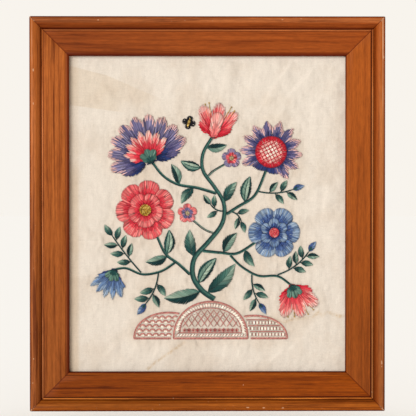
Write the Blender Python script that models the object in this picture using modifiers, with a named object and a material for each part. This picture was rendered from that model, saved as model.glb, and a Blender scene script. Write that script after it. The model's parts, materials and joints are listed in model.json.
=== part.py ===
"""A crewel embroidery on linen, stretched in a stained wooden frame with mitred corners.

The frame stands upright as it hangs on a wall: X runs right, Z runs up and the front faces -Y.
The origin is on the flat back of the top rail, at the middle of its length.
Sizes are written in millimetres, and MM turns them into metres where a shape is made.
"""
import math

import bmesh
import bpy
from mathutils import Vector

MM = 0.001

# Frame
SIGHT_WIDTH = 355.6           # the 14 by 16 inch opening
SIGHT_HEIGHT = 406.4
MOULDING_WIDTH = 50.8         # a 2 inch moulding, measured across the rail
REBATE_WIDTH = 6.0            # how far the lip covers the picture's edge
REBATE_DEPTH = 10.5           # from the back of the rail to the back of the lip
MITRE_JOINT = 0.3             # the open line between two rails
CORNER_RADIUS = 2.5           # the outer corners are rubbed round
OUTER_WIDTH = SIGHT_WIDTH + 2 * MOULDING_WIDTH
OUTER_HEIGHT = SIGHT_HEIGHT + 2 * MOULDING_WIDTH
RAIL_BACK_WIDTH = MOULDING_WIDTH - REBATE_WIDTH
CENTRE_Z = RAIL_BACK_WIDTH / 2 - OUTER_HEIGHT / 2

# The moulding's section: widths from the outer edge inward, heights from the wall forward
CORNER_ROUND = 0.4            # the small round on each worked edge
SIDE_HEIGHT = 15.5            # the straight outer side, up to the roll
ROLL_CREST = 5.0              # where the outer roll is highest
ROLL_HEIGHT = 21.5
ROLL_WIDTH = 14.9
QUIRK_WIDTH = 0.4             # the narrow sunk line beside the roll
QUIRK_HEIGHT = 14.2
FILLET_WIDTH = 2.2            # the narrow raised strip
FILLET_HEIGHT = 17.2
GROOVE_WIDTH = 0.5            # the line between the strip and the flat
GROOVE_HEIGHT = 16.1
FLAT_OUTER_HEIGHT = 18.7      # the wide flat slopes down a little to the picture
FLAT_INNER_HEIGHT = 17.5
BEAD_WIDTH = 4.8              # the bead at the picture's edge
BEAD_HEIGHT = 17.3
BEAD_SIDE_HEIGHT = 15.0

# Linen and board
SEAT_GAP = 0.3                # between one piece and the piece that carries it
LINEN_THICKNESS = 1.2
LINEN_FACE = REBATE_DEPTH - SEAT_GAP
LINEN_CELL = 12.0             # the spacing of the points that shape the linen
CREASE_ROOM = 1.5             # how far the linen may sink behind its face
LINEN_WIDTH = SIGHT_WIDTH + 2 * REBATE_WIDTH - 2 * SEAT_GAP
LINEN_HEIGHT = SIGHT_HEIGHT + 2 * REBATE_WIDTH - 2 * SEAT_GAP
BOARD_THICKNESS = 3.0
BOARD_FACE = LINEN_FACE - LINEN_THICKNESS - CREASE_ROOM - SEAT_GAP

# Wool
WOOL_THICKNESS = 1.2          # the height of one layer of stitches
LAYER_STEP = WOOL_THICKNESS + SEAT_GAP
STEM_GAP = 0.7                # between a stem and what grows from it

# Petal edges, as the two powers that round or sharpen a petal's tip
ROUND = (2.4, 0.55)
SOFT = (1.7, 0.7)
KEEN = (1.1, 0.9)

# Creases in the linen: from x, z to x, z, with the width and the depth of the trough
CREASES = [
    # x1,   z1,    x2,   z2,  width, depth
    (112, 200, 68, 135, 11, 1.2),
    (142, 197, 106, 158, 10, 1.0),
    (150, 154, 132, 138, 9, 0.8),
    (104, 140, 81, 122, 9, 0.8),
    (177, -27, 127, -33, 9, 1.1),
    (-177, -35, -132, -36, 9, 1.1),
    (177, 160, 150, 158, 8, 0.7),
    (1, 176, 2, 146, 12, 0.9),
    (-46, 178, -40, 146, 13, 0.6),
    (56, 182, 52, 150, 13, 0.6),
    (-150, 120, -162, 70, 14, 0.7),
    (-154, -10, -158, -60, 13, 0.7),
    (152, 40, 158, -10, 13, 0.7),
    (-120, -150, -146, -196, 12, 1.0),
    (-52, -166, -60, -198, 11, 0.8),
    (24, -166, 30, -200, 11, 0.8),
    (104, -150, 126, -194, 12, 1.0),
]

# Mounds at the foot of the tree
MOUNDS = [
    # name,         x,   foot, width, height
    ("mound_middle", 4, -162, 98, 50),
    ("mound_left", -50, -162, 92, 36),
    ("mound_right", 60, -162, 88, 32),
]

# Stems: each grows from its parent, part of the way along it, on its left (1) or right (-1) side
STEMS = [
    # name, parent, along, side, width at the foot, width at the tip, points (x, z)
    ("trunk", None, 0, 0, 7.0, 3.6,
     [(5, -107.5), (-8, -98), (-19, -80), (-17, -57), (1, -36), (19, -12),
      (21, 14), (8, 36), (-6, 56), (-6, 78), (5, 97.5)]),
    ("bough_rose", "trunk", 0.22, 1, 3.8, 3.0, [(-38, -64), (-54, -52), (-64.3, -31)]),
    ("bough_blue", "trunk", 0.36, -1, 3.8, 3.0, [(18, -50), (38, -51), (60.2, -37.6)]),
    ("bough_seed", "trunk", 0.55, -1, 3.8, 3.0, [(40, 10), (61, 24), (74.4, 54)]),
    ("bough_fan", "trunk", 0.67, 1, 3.8, 3.0, [(-14, 34), (-38, 38), (-57, 49), (-70, 64.8)]),
    ("bough_bell", "bough_rose", 0.42, 1, 3.0, 2.8, [(-60, -74), (-84, -78), (-104, -70), (-116.4, -70.8)]),
    ("bough_bud", "bough_blue", 0.55, -1, 3.0, 2.8, [(44, -68), (66, -80), (90, -80), (106, -90.5)]),
    ("sprig_middle", "trunk", 0.44, 1, 2.6, 2.4, [(-4, -20), (-17.3, -9.4)]),
    ("sprig_top", "trunk", 0.76, -1, 2.6, 2.4, [(8, 56), (20.6, 63.3)]),
]

# Leaves: each leans away from its stem by some degrees, and bows sideways by its bend
LEAVES = [
    # stem, along, side, lean, length, width, bend
    ("trunk", 0.10, 1, 60, 46, 19, 3),
    ("trunk", 0.05, -1, 98, 50, 19, -3),
    ("trunk", 0.15, -1, 66, 38, 16, 2),
    ("trunk", 0.31, 1, 40, 33, 15, 2),
    ("bough_rose", 0.62, 1, 58, 27, 13, 2),
    ("bough_rose", 0.66, -1, 50, 30, 14, -2),
    ("bough_blue", 0.38, 1, 62, 29, 14, 2),
    ("bough_blue", 0.80, -1, 92, 23, 11, -2),
    ("bough_seed", 0.48, 1, 50, 32, 14, 2),
    ("trunk", 0.61, -1, 52, 28, 13, 2),
    ("bough_fan", 0.30, 1, 62, 24, 12, -2),
    ("bough_fan", 0.50, -1, 46, 26, 12, -2),
    ("trunk", 0.82, 1, 58, 26, 13, 2),
    ("trunk", 0.94, -1, 52, 25, 12, -2),
]

# Twigs: small stems whose own leaves, on short stalks, are worked on from them without a break
TWIG_WIDTH = 1.8
TWIG_LEAN = 52                # degrees between a twig and its side leaves
TWIG_FIRST = 0.30             # the first leaf's place along its twig
STALK_LENGTH = 2.0
STALK_WIDTH = 1.2
TWIG_LEAF_BEND = 0.6
LEAF_CLEARANCE = 0.06         # how near a leaf the twig's own edge has no point, as a share
TWIGS = [
    # stem, along, side, lean, length, bend, leaves, leaf length, leaf width
    ("bough_bell", 0.30, 1, 50, 40, 3, 5, 17, 9),
    ("bough_bell", 0.54, -1, 38, 58, 1, 7, 16, 8),
    ("bough_bud", 0.42, -1, 48, 36, -3, 5, 16, 8),
    ("bough_bud", 0.76, 1, 60, 48, -4, 7, 15, 8),
    ("bough_seed", 0.16, -1, 80, 15, 2, 3, 14, 7),
    ("bough_seed", 0.74, -1, 56, 42, -3, 5, 15, 8),
    ("trunk", 0.56, 1, 60, 16, 2, 3, 14, 7),
]

# Flowers, a row for each layer of petals, laid round a point. A whole rosette has a spread of
# 360 degrees. An open flower stands on a root, and its cup keeps its width round a shoulder.
# A layer with no petals is a plain disc of its reach.
FLOWERS = [
    # name, slot, layer, x, z, turn, petals, spread, root, shoulder, valley, reach, tip
    ("rose_petals", "coral_wool", 0, -80, 5, 10, 7, 360, 0, 0, 31, 39, ROUND),
    ("rose_middle", "red_wool", 1, -80, 5, 36, 5, 360, 0, 0, 18, 23, ROUND),
    ("rose_heart", "gold_wool", 2, -80, 5, 0, 0, 360, 0, 0, 8, 8, ROUND),
    ("blue_petals", "blue_wool", 0, 86, -24, 0, 6, 360, 0, 0, 26, 34, ROUND),
    ("blue_middle", "sky_wool", 1, 86, -24, 30, 6, 360, 0, 0, 13, 19, SOFT),
    ("blue_heart", "coral_wool", 2, 86, -24, 0, 0, 360, 0, 0, 7, 7, ROUND),
    ("seed_crown", "blue_wool", 0, 82, 80, 18, 11, 286, 24, 60, 30, 41, KEEN),
    ("seed_fruit", "coral_wool", 1, 82, 80, 0, 0, 360, 0, 0, 21, 21, ROUND),
    ("fan_petals", "lilac_wool", 0, -76, 76, -22, 9, 200, 12, 55, 42, 52, SOFT),
    ("fan_middle", "coral_wool", 1, -76, 76, -22, 7, 160, 8, 50, 24, 32, KEEN),
    ("fan_cup", "green_wool", 2, -74, 71, -22, 3, 150, 6, 60, 10, 14, SOFT),
    ("tulip_petals", "coral_wool", 0, 9, 104, 12, 3, 110, 7, 70, 25, 39, SOFT),
    ("tulip_heart", "pink_wool", 1, 9, 104, 12, 1, 64, 5, 50, 12, 28, SOFT),
    ("bell_petals", "blue_wool", 0, -121, -75, 202, 5, 96, 5, 45, 25, 35, KEEN),
    ("bell_cap", "green_wool", 1, -121, -75, 202, 3, 130, 4, 60, 9, 13, SOFT),
    ("bud_petals", "coral_wool", 0, 110, -96, 162, 3, 112, 6, 60, 26, 39, SOFT),
    ("bud_cap", "green_wool", 1, 110, -96, 162, 3, 130, 5, 60, 10, 14, SOFT),
    ("blossom_middle", "pink_wool", 0, -26, 1, 0, 5, 360, 0, 0, 8, 13, ROUND),
    ("blossom_top", "lilac_wool", 0, 31, 72, 0, 5, 360, 0, 0, 8, 13, ROUND),
    ("moth_wings", "gold_wool", 0, -24, 118, 62, 4, 360, 0, 0, 3, 9, ROUND),
    ("moth_body", "navy_wool", 1, -24, 118, 17, 2, 360, 0, 0, 1.2, 8, SOFT),
]

# Finishes: base colour, roughness
FINISHES = {
    "stained_wood": ((0.36, 0.11, 0.025), 0.42),
    "linen": ((0.81, 0.71, 0.60), 0.95),
    "backing_board": ((0.30, 0.19, 0.11), 0.85),
    "rose_wool": ((0.62, 0.33, 0.29), 0.95),
    "green_wool": ((0.05, 0.14, 0.11), 0.95),
    "teal_wool": ((0.012, 0.07, 0.065), 0.95),
    "coral_wool": ((0.76, 0.10, 0.11), 0.95),
    "red_wool": ((0.55, 0.015, 0.03), 0.95),
    "pink_wool": ((0.86, 0.42, 0.39), 0.95),
    "blue_wool": ((0.07, 0.13, 0.37), 0.95),
    "sky_wool": ((0.22, 0.35, 0.60), 0.95),
    "lilac_wool": ((0.17, 0.15, 0.34), 0.95),
    "gold_wool": ((0.48, 0.27, 0.03), 0.95),
    "navy_wool": ((0.01, 0.015, 0.05), 0.95),
}


def clear_scene():
    for item in list(bpy.data.objects):
        bpy.data.objects.remove(item, do_unlink=True)


def make_collection(name):
    collection = bpy.data.collections.new(name)
    bpy.context.scene.collection.children.link(collection)
    return collection


def make_finish(name):
    colour, roughness = FINISHES[name]
    finish = bpy.data.materials.new(name)
    finish.use_nodes = True
    shader = finish.node_tree.nodes["Principled BSDF"]
    shader.inputs["Base Color"].default_value = (*colour, 1.0)
    shader.inputs["Roughness"].default_value = roughness
    shader.inputs["Metallic"].default_value = 0.0
    finish.diffuse_color = (*colour, 1.0)
    return finish


def flat_outline(name, outline, thickness, collection):
    """A flat plate from one closed outline, drawn in its own XY plane."""
    data = bpy.data.curves.new(name, "CURVE")
    data.dimensions = "2D"
    data.fill_mode = "BOTH"
    data.extrude = thickness / 2 * MM
    spline = data.splines.new("POLY")
    spline.points.add(len(outline) - 1)
    for point, (x, y) in zip(spline.points, outline):
        point.co = (x * MM, y * MM, 0.0, 1.0)
    spline.use_cyclic_u = True
    plate = bpy.data.objects.new(name, data)
    collection.objects.link(plate)
    return plate


def weld(mesh):
    shell = bmesh.new()
    shell.from_mesh(mesh)
    bmesh.ops.remove_doubles(shell, verts=shell.verts, dist=0.01 * MM)
    shell.to_mesh(mesh)
    shell.free()


def as_mesh(curve_object, collection):
    """The same plate as a closed mesh, which a Boolean modifier can cut."""
    bpy.context.view_layer.update()
    graph = bpy.context.evaluated_depsgraph_get()
    mesh = bpy.data.meshes.new_from_object(curve_object.evaluated_get(graph))
    name = curve_object.name
    place = curve_object.matrix_world.copy()
    bpy.data.objects.remove(curve_object, do_unlink=True)
    weld(mesh)
    solid = bpy.data.objects.new(name, mesh)
    solid.matrix_world = place
    collection.objects.link(solid)
    return solid


def boolean(target, cutter, operation):
    cut = target.modifiers.new(operation.lower(), "BOOLEAN")
    cut.operation = operation
    cut.object = cutter
    cut.solver = "EXACT"


def hide_cutter(cutter):
    cutter.hide_render = True
    cutter.display_type = "WIRE"


def ellipse(centre_u, centre_v, reach_u, reach_v, first, last, steps):
    """Points along part of an ellipse, from the first to the last angle in degrees."""
    points = []
    for i in range(steps + 1):
        angle = math.radians(first + (last - first) * i / steps)
        points.append((centre_u + reach_u * math.cos(angle), centre_v + reach_v * math.sin(angle)))
    return points


def moulding_profile():
    """The rail's section: u runs in from the outer edge, v runs forward from the wall."""
    roll_drop = 8.6
    roll_reach = ROLL_WIDTH - ROLL_CREST + 0.1
    roll = ellipse(ROLL_CREST, SIDE_HEIGHT, ROLL_CREST, ROLL_HEIGHT - SIDE_HEIGHT, 180, 90, 5)
    roll += ellipse(ROLL_CREST, ROLL_HEIGHT - roll_drop, roll_reach, roll_drop, 78, 16, 5)
    strip = ROLL_WIDTH + QUIRK_WIDTH
    groove = strip + FILLET_WIDTH
    flat = groove + GROOVE_WIDTH
    bead = MOULDING_WIDTH - BEAD_WIDTH
    profile = roll + [
        (ROLL_WIDTH, QUIRK_HEIGHT),
        (strip, QUIRK_HEIGHT),
        (strip, FILLET_HEIGHT - CORNER_ROUND),
        (strip + CORNER_ROUND, FILLET_HEIGHT),
        (groove - CORNER_ROUND, FILLET_HEIGHT),
        (groove, FILLET_HEIGHT - CORNER_ROUND),
        (groove, GROOVE_HEIGHT),
        (flat, GROOVE_HEIGHT),
        (flat, FLAT_OUTER_HEIGHT - CORNER_ROUND),
        (flat + CORNER_ROUND, FLAT_OUTER_HEIGHT),
        (bead - CORNER_ROUND / 2, FLAT_INNER_HEIGHT),
        (bead, GROOVE_HEIGHT + CORNER_ROUND),
    ]
    half_bead = BEAD_WIDTH / 2
    bead_rise = BEAD_HEIGHT - BEAD_SIDE_HEIGHT
    profile += ellipse(bead + half_bead, BEAD_SIDE_HEIGHT, half_bead, bead_rise, 140, 0, 5)
    profile += [
        (MOULDING_WIDTH, REBATE_DEPTH),
        (RAIL_BACK_WIDTH, REBATE_DEPTH),
        (RAIL_BACK_WIDTH, 0.0),
        (0.0, 0.0),
    ]
    return profile


def make_corner_rounder(cutters):
    """A block round the whole frame whose own corners take off the sharp outer corners."""
    margin = 0.5
    cut_at_corner = (math.sqrt(2) - 1) * CORNER_RADIUS + math.sqrt(2) * margin
    radius = cut_at_corner / (math.sqrt(2) - 1)
    half_width = OUTER_WIDTH / 2 + margin
    half_height = OUTER_HEIGHT / 2 + margin
    outline = []
    for sign_x, sign_z, first in ((1, 1, 0), (-1, 1, 90), (-1, -1, 180), (1, -1, 270)):
        centre_x = sign_x * (half_width - radius)
        centre_z = sign_z * (half_height - radius)
        outline += ellipse(centre_x, centre_z, radius, radius, first, first + 90, 6)
    block = flat_outline("corner_rounder", outline, 60.0, cutters)
    block.rotation_euler = (math.pi / 2, 0, 0)
    block.location = Vector((0, 0, CENTRE_Z)) * MM
    block = as_mesh(block, cutters)
    hide_cutter(block)
    return block


def make_rail(name, side_length, reach, turn, finish, rounder, parts):
    """One mitred rail, made along X above the frame's centre and turned about it."""
    rail = flat_outline(name, moulding_profile(), side_length, parts)
    rail = as_mesh(rail, parts)
    setback = MITRE_JOINT / 2 * math.sqrt(2)
    for vertex in rail.data.vertices:
        u, v, run = vertex.co / MM
        end = math.copysign(side_length / 2 - u - setback, run)
        vertex.co = Vector((-end, -v, reach - u)) * MM
    rail.location = Vector((0, 0, CENTRE_Z)) * MM
    rail.rotation_euler = (0, math.radians(turn), 0)
    rail.data.materials.append(finish)
    boolean(rail, rounder, "INTERSECT")
    return rail


def make_frame(finish, parts, cutters):
    rounder = make_corner_rounder(cutters)
    half_width = OUTER_WIDTH / 2
    half_height = OUTER_HEIGHT / 2
    rails = [
        # name, length, distance of the outer edge from the centre, turn
        ("rail_top", OUTER_WIDTH, half_height, 0),
        ("rail_right", OUTER_HEIGHT, half_width, 90),
        ("rail_bottom", OUTER_WIDTH, half_height, 180),
        ("rail_left", OUTER_HEIGHT, half_width, 270),
    ]
    for name, side_length, reach, turn in rails:
        make_rail(name, side_length, reach, turn, finish, rounder, parts)


def crease_depth(x, z):
    """How far the linen sinks behind its face at a point."""
    depth = 0.0
    for x1, z1, x2, z2, width, crease in CREASES:
        run = Vector((x2 - x1, z2 - z1))
        offset = Vector((x - x1, z - z1))
        along = max(0.0, min(1.0, offset.dot(run) / run.length_squared))
        distance = (offset - run * along).length
        depth += crease * math.exp(-(distance / width) ** 2)
    from_edge = min(SIGHT_WIDTH / 2 - abs(x), SIGHT_HEIGHT / 2 - abs(z))
    calm = max(0.0, min(1.0, from_edge / 8.0 + 0.25))
    return min(CREASE_ROOM, depth) * calm


def make_linen(finish, parts):
    columns = round(LINEN_WIDTH / LINEN_CELL)
    rows = round(LINEN_HEIGHT / LINEN_CELL)
    bpy.ops.mesh.primitive_grid_add(x_subdivisions=columns, y_subdivisions=rows, size=1.0)
    linen = bpy.context.object
    linen.name = "linen"
    for vertex in linen.data.vertices:
        x = vertex.co.x * LINEN_WIDTH
        z = vertex.co.y * LINEN_HEIGHT
        y = crease_depth(x, z) - LINEN_FACE
        vertex.co = Vector((x, y, z)) * MM
    linen.location = Vector((0, 0, CENTRE_Z)) * MM
    sheet = linen.modifiers.new("thickness", "SOLIDIFY")
    sheet.thickness = LINEN_THICKNESS * MM
    sheet.offset = -1.0
    linen.data.shade_smooth()
    linen.data.materials.append(finish)
    for collection in list(linen.users_collection):
        collection.objects.unlink(linen)
    parts.objects.link(linen)
    return linen


def make_board(finish, parts):
    """The stiff board behind the linen, which fills the rebate from side to side."""
    half_width = LINEN_WIDTH / 2
    half_height = LINEN_HEIGHT / 2
    corners = [(-half_width, -half_height), (half_width, -half_height),
               (half_width, half_height), (-half_width, half_height)]
    board = flat_outline("backing_board", corners, BOARD_THICKNESS, parts)
    board.rotation_euler = (math.pi / 2, 0, 0)
    board.location = Vector((0, BOARD_THICKNESS / 2 - BOARD_FACE, CENTRE_Z)) * MM
    board.data.materials.append(finish)
    return board


def place_on_linen(plate, layer):
    """Stand a flat plate up in front of the linen, on its layer of stitches."""
    middle = LINEN_FACE + SEAT_GAP + WOOL_THICKNESS / 2 + layer * LAYER_STEP
    plate.rotation_euler = (math.pi / 2, 0, 0)
    plate.location = Vector((0, -middle, CENTRE_Z)) * MM


def make_motif(name, outline, layer, finish, parts):
    motif = flat_outline(name, outline, WOOL_THICKNESS, parts)
    place_on_linen(motif, layer)
    motif.data.materials.append(finish)
    return motif


def smooth_line(points, steps):
    """A smooth curve through all the points."""
    padded = [points[0]] + points + [points[-1]]
    line = []
    for i in range(len(points) - 1):
        before, start, end, after = (Vector(point) for point in padded[i:i + 4])
        for k in range(steps):
            t = k / steps
            line.append(0.5 * (2 * start + (end - before) * t
                               + (2 * before - 5 * start + 4 * end - after) * t ** 2
                               + (3 * start - before - 3 * end + after) * t ** 3))
    return line + [Vector(points[-1])]


def point_along(line, along):
    """The point part of the way along a line, with the line's direction there."""
    place = along * (len(line) - 1)
    i = min(int(place), len(line) - 2)
    step = line[i + 1] - line[i]
    return line[i] + step * (place - i), step.normalized()


def left_of(direction):
    return Vector((-direction.y, direction.x))


def stem_outline(line, foot_width, tip_width):
    """A strip along a line that narrows from its foot to its tip."""
    left = []
    right = []
    last = len(line) - 1
    for i, point in enumerate(line):
        direction = (line[min(i + 1, last)] - line[max(i - 1, 0)]).normalized()
        half = (foot_width + (tip_width - foot_width) * i / last) / 2
        left.append(point + left_of(direction) * half)
        right.append(point - left_of(direction) * half)
    return left + right[::-1]


def stem_lines():
    """Each stem's middle line and widths, its first point set beside its parent."""
    stems = {}
    for name, parent, along, side, foot_width, tip_width, points in STEMS:
        if parent:
            line, parent_foot, parent_tip = stems[parent]
            start, direction = point_along(line, along)
            parent_half = (parent_foot + (parent_tip - parent_foot) * along) / 2
            away = parent_half + foot_width * 0.3 + STEM_GAP
            points = [start + left_of(direction) * side * away] + points
        stems[name] = (smooth_line(points, 4), foot_width, tip_width)
    return stems


def leaf_outline(foot, direction, length, width, bend, steps=8):
    """A pointed leaf whose midrib bows to one side."""
    across = left_of(direction)
    left = []
    right = []
    for i in range(steps + 1):
        t = i / steps
        midrib = foot + direction * length * t + across * bend * 4 * t * (1 - t)
        half = width / 2 * max(0.0, math.sin(math.pi * t ** 0.85)) ** 0.8
        left.append(midrib + across * half)
        right.append(midrib - across * half)
    return left + right[-2:0:-1]


def twig_lines(foot, direction, length, bend, leaves):
    """A twig's middle line, and rows for its leaves: along, side, foot of the leaf, direction."""
    steps = 10
    across = left_of(direction)
    line = []
    for i in range(steps + 1):
        t = i / steps
        line.append(foot + direction * length * t + across * bend * 4 * t * (1 - t))
    rows = []
    for k in range(leaves):
        along = TWIG_FIRST + (1 - TWIG_FIRST) * k / (leaves - 1)
        side = 0 if k == leaves - 1 else 1 - 2 * (k % 2)
        start, ahead = point_along(line, along)
        angle = math.radians(TWIG_LEAN) * side
        leaf_direction = ahead * math.cos(angle) + left_of(ahead) * math.sin(angle)
        edge = start + left_of(ahead) * side * TWIG_WIDTH / 2
        rows.append((along, side, edge + leaf_direction * STALK_LENGTH, leaf_direction))
    return line, rows


def twig_edge(line, rows, edge_side, leaf_length, leaf_width):
    """One edge of a twig, from its foot forward and out round each leaf on that side."""
    last = len(line) - 1
    leaf_rows = [row for row in rows if row[1] == edge_side]
    neck = STALK_WIDTH / 2
    stretches = []
    for i in range(last):
        along = i / last
        if all(abs(along - row[0]) > LEAF_CLEARANCE for row in leaf_rows):
            point, ahead = point_along(line, along)
            stretches.append((along, [point + left_of(ahead) * edge_side * TWIG_WIDTH / 2]))
    for along, side, foot, direction in leaf_rows:
        leaf = leaf_outline(foot, direction, leaf_length, leaf_width, TWIG_LEAF_BEND, 6)
        leaf = leaf[1:] if side == 1 else leaf[:0:-1]
        point, ahead = point_along(line, along)
        edge = point + left_of(ahead) * side * TWIG_WIDTH / 2
        stalk = left_of(direction) * side * neck
        stretches.append((along, [edge - ahead * neck, foot + stalk] + leaf
                          + [foot - stalk, edge + ahead * neck]))
    stretches.sort(key=lambda stretch: stretch[0])
    return [point for along, points in stretches for point in points]


def twig_outline(line, rows, leaf_length, leaf_width):
    """A twig with its side leaves, and the leaf at its end."""
    tip = line[-1]
    ahead = (line[-1] - line[-2]).normalized()
    half = left_of(ahead) * TWIG_WIDTH / 2
    along, side, foot, direction = rows[-1]
    end_leaf = leaf_outline(foot, direction, leaf_length, leaf_width, TWIG_LEAF_BEND, 6)
    left = twig_edge(line, rows, 1, leaf_length, leaf_width)
    right = twig_edge(line, rows, -1, leaf_length, leaf_width)
    return left + [tip + half] + end_leaf[1:] + [tip - half] + right[::-1]


def petal_radius(position, valley, reach, tip):
    """The distance from the flower's centre to a petal's edge, from -1 to 1 across the petal."""
    inner, outer = tip
    return valley + (reach - valley) * (1 - abs(position) ** inner) ** outer


def flower_outline(x, z, turn, petals, spread, root, shoulder, valley, reach, tip):
    """The edge of one layer of petals, drawn clockwise round the flower's centre."""
    steps = 6
    edge = []
    if petals == 0:
        points = 20
        edge = [(360 * i / points, reach) for i in range(points)]
    else:
        open_flower = spread < 360
        for i in range(petals * steps + open_flower):
            position = 2 * (i % steps) / steps - 1
            angle = turn - spread / 2 + spread / petals * i / steps
            edge.append((angle, petal_radius(position, valley, reach, tip)))
        if open_flower:
            edge += cup_edge(turn + spread / 2, 360 - spread, root, shoulder, valley)
    outline = []
    for angle, radius in edge:
        outline.append((x + radius * math.sin(math.radians(angle)),
                        z + radius * math.cos(math.radians(angle))))
    return outline


def cup_edge(first_angle, rest, root, shoulder, valley):
    """The rounded foot of an open flower, from its last petal round to its first."""
    steps = 9
    edge = []
    for i in range(1, steps):
        turned = rest * i / steps
        fall = min(1.0, min(turned, rest - turned) / shoulder)
        radius = root + (valley - root) * (0.5 + 0.5 * math.cos(math.pi * fall))
        edge.append((first_angle + turned, radius))
    return edge


def mound_outline(x, foot, width, height, grow=0.0):
    """A low dome on a flat foot; grow makes it that much wider and higher all round."""
    steps = 14
    outline = []
    for i in range(steps + 1):
        angle = math.pi * i / steps
        rise = max(0.0, math.sin(angle)) ** 0.9
        outline.append((x + (width / 2 + grow) * math.cos(angle), foot + (height + grow) * rise))
    return outline


def make_mounds(finish, parts, cutters):
    """The middle mound stands in front, so the other two are cut back to its edge."""
    name, x, foot, width, height = MOUNDS[0]
    make_motif(name, mound_outline(x, foot, width, height), 0, finish, parts)
    grow = 2 * SEAT_GAP
    below = foot - 5.0
    grown = mound_outline(x, foot, width, height, grow)
    grown += [(x - width / 2 - grow, below), (x + width / 2 + grow, below)]
    cutter = flat_outline("mound_cutter", grown, WOOL_THICKNESS * 3, cutters)
    place_on_linen(cutter, 0)
    cutter = as_mesh(cutter, cutters)
    hide_cutter(cutter)
    for name, x, foot, width, height in MOUNDS[1:]:
        mound = make_motif(name, mound_outline(x, foot, width, height), 0, finish, parts)
        mound = as_mesh(mound, parts)
        boolean(mound, cutter, "DIFFERENCE")


def make_stems(finish, parts):
    for name, (line, foot_width, tip_width) in stem_lines().items():
        make_motif(name, stem_outline(line, foot_width, tip_width), 0, finish, parts)


def growing_point(stems, stem, along, side, lean, own_width=0.0):
    """Where something grows from a stem, just clear of its edge, and the way it leans."""
    line, foot_width, tip_width = stems[stem]
    start, direction = point_along(line, along)
    half = (foot_width + (tip_width - foot_width) * along) / 2
    angle = math.radians(lean) * side
    away = half + STEM_GAP + own_width / 2 * math.cos(angle)
    foot = start + left_of(direction) * side * away
    return foot, direction * math.cos(angle) + left_of(direction) * math.sin(angle)


def make_leaves(finish, parts):
    stems = stem_lines()
    for number, (stem, along, side, lean, length, width, bend) in enumerate(LEAVES, start=1):
        foot, direction = growing_point(stems, stem, along, side, lean)
        outline = leaf_outline(foot, direction, length, width, bend)
        make_motif(f"leaf_{number:02d}", outline, 0, finish, parts)


def make_twigs(finish, parts):
    stems = stem_lines()
    for number, (stem, along, side, lean, *shape) in enumerate(TWIGS, start=1):
        foot, direction = growing_point(stems, stem, along, side, lean, TWIG_WIDTH)
        length, bend, leaves, leaf_length, leaf_width = shape
        line, rows = twig_lines(foot, direction, length, bend, leaves)
        outline = twig_outline(line, rows, leaf_length, leaf_width)
        make_motif(f"twig_{number:02d}", outline, 0, finish, parts)


def make_flowers(finishes, parts):
    for name, slot, layer, *shape in FLOWERS:
        make_motif(name, flower_outline(*shape), layer, finishes[slot], parts)


def main():
    clear_scene()
    parts = make_collection("framed_crewel_embroidery")
    cutters = make_collection("cutters")
    finishes = {name: make_finish(name) for name in FINISHES}
    make_frame(finishes["stained_wood"], parts, cutters)
    make_linen(finishes["linen"], parts)
    make_board(finishes["backing_board"], parts)
    make_mounds(finishes["rose_wool"], parts, cutters)
    make_stems(finishes["green_wool"], parts)
    make_leaves(finishes["teal_wool"], parts)
    make_twigs(finishes["teal_wool"], parts)
    make_flowers(finishes, parts)


main()
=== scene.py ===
# %% [markdown]
# # A crewel embroidery in a wooden frame
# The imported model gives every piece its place: four mitred rails, a sheet of linen, a board
# behind it, and one flat plate for each worked motif. This lesson keeps those places and
# makes the looks: milled and stained wood, creased linen, and wool sewn stitch by stitch.
#
# Nothing else is read from disk.

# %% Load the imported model
import bisect
import json
import math

import bpy
import numpy as np
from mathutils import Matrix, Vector, noise

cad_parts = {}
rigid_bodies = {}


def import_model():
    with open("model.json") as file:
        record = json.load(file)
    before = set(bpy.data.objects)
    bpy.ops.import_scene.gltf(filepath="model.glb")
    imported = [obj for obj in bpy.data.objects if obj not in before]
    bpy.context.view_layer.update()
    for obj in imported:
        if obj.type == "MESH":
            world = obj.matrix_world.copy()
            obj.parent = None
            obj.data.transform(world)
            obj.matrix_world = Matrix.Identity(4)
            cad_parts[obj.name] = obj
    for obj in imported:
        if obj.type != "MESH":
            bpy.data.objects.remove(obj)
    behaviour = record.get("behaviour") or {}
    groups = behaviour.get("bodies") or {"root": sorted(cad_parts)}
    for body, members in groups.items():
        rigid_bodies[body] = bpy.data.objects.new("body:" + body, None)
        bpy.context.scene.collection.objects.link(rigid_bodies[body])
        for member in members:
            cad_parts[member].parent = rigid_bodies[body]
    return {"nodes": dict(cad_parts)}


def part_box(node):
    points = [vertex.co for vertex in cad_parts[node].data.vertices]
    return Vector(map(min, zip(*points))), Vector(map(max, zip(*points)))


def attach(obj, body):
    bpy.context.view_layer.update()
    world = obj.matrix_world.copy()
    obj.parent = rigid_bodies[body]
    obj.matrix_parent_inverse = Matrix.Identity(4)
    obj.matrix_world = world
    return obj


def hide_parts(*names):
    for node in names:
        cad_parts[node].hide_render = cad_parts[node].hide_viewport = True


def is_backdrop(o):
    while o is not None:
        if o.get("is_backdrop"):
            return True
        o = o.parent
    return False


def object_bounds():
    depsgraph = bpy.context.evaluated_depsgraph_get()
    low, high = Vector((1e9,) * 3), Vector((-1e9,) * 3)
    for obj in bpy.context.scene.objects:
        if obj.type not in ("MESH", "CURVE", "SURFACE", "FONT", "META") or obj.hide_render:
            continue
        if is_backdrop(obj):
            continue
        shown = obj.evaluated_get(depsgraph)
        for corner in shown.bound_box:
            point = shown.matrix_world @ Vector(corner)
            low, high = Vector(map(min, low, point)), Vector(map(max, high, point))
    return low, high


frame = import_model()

MM = 0.001
cad_low, cad_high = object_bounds()
print("nodes loaded:", len(frame["nodes"]))

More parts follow.
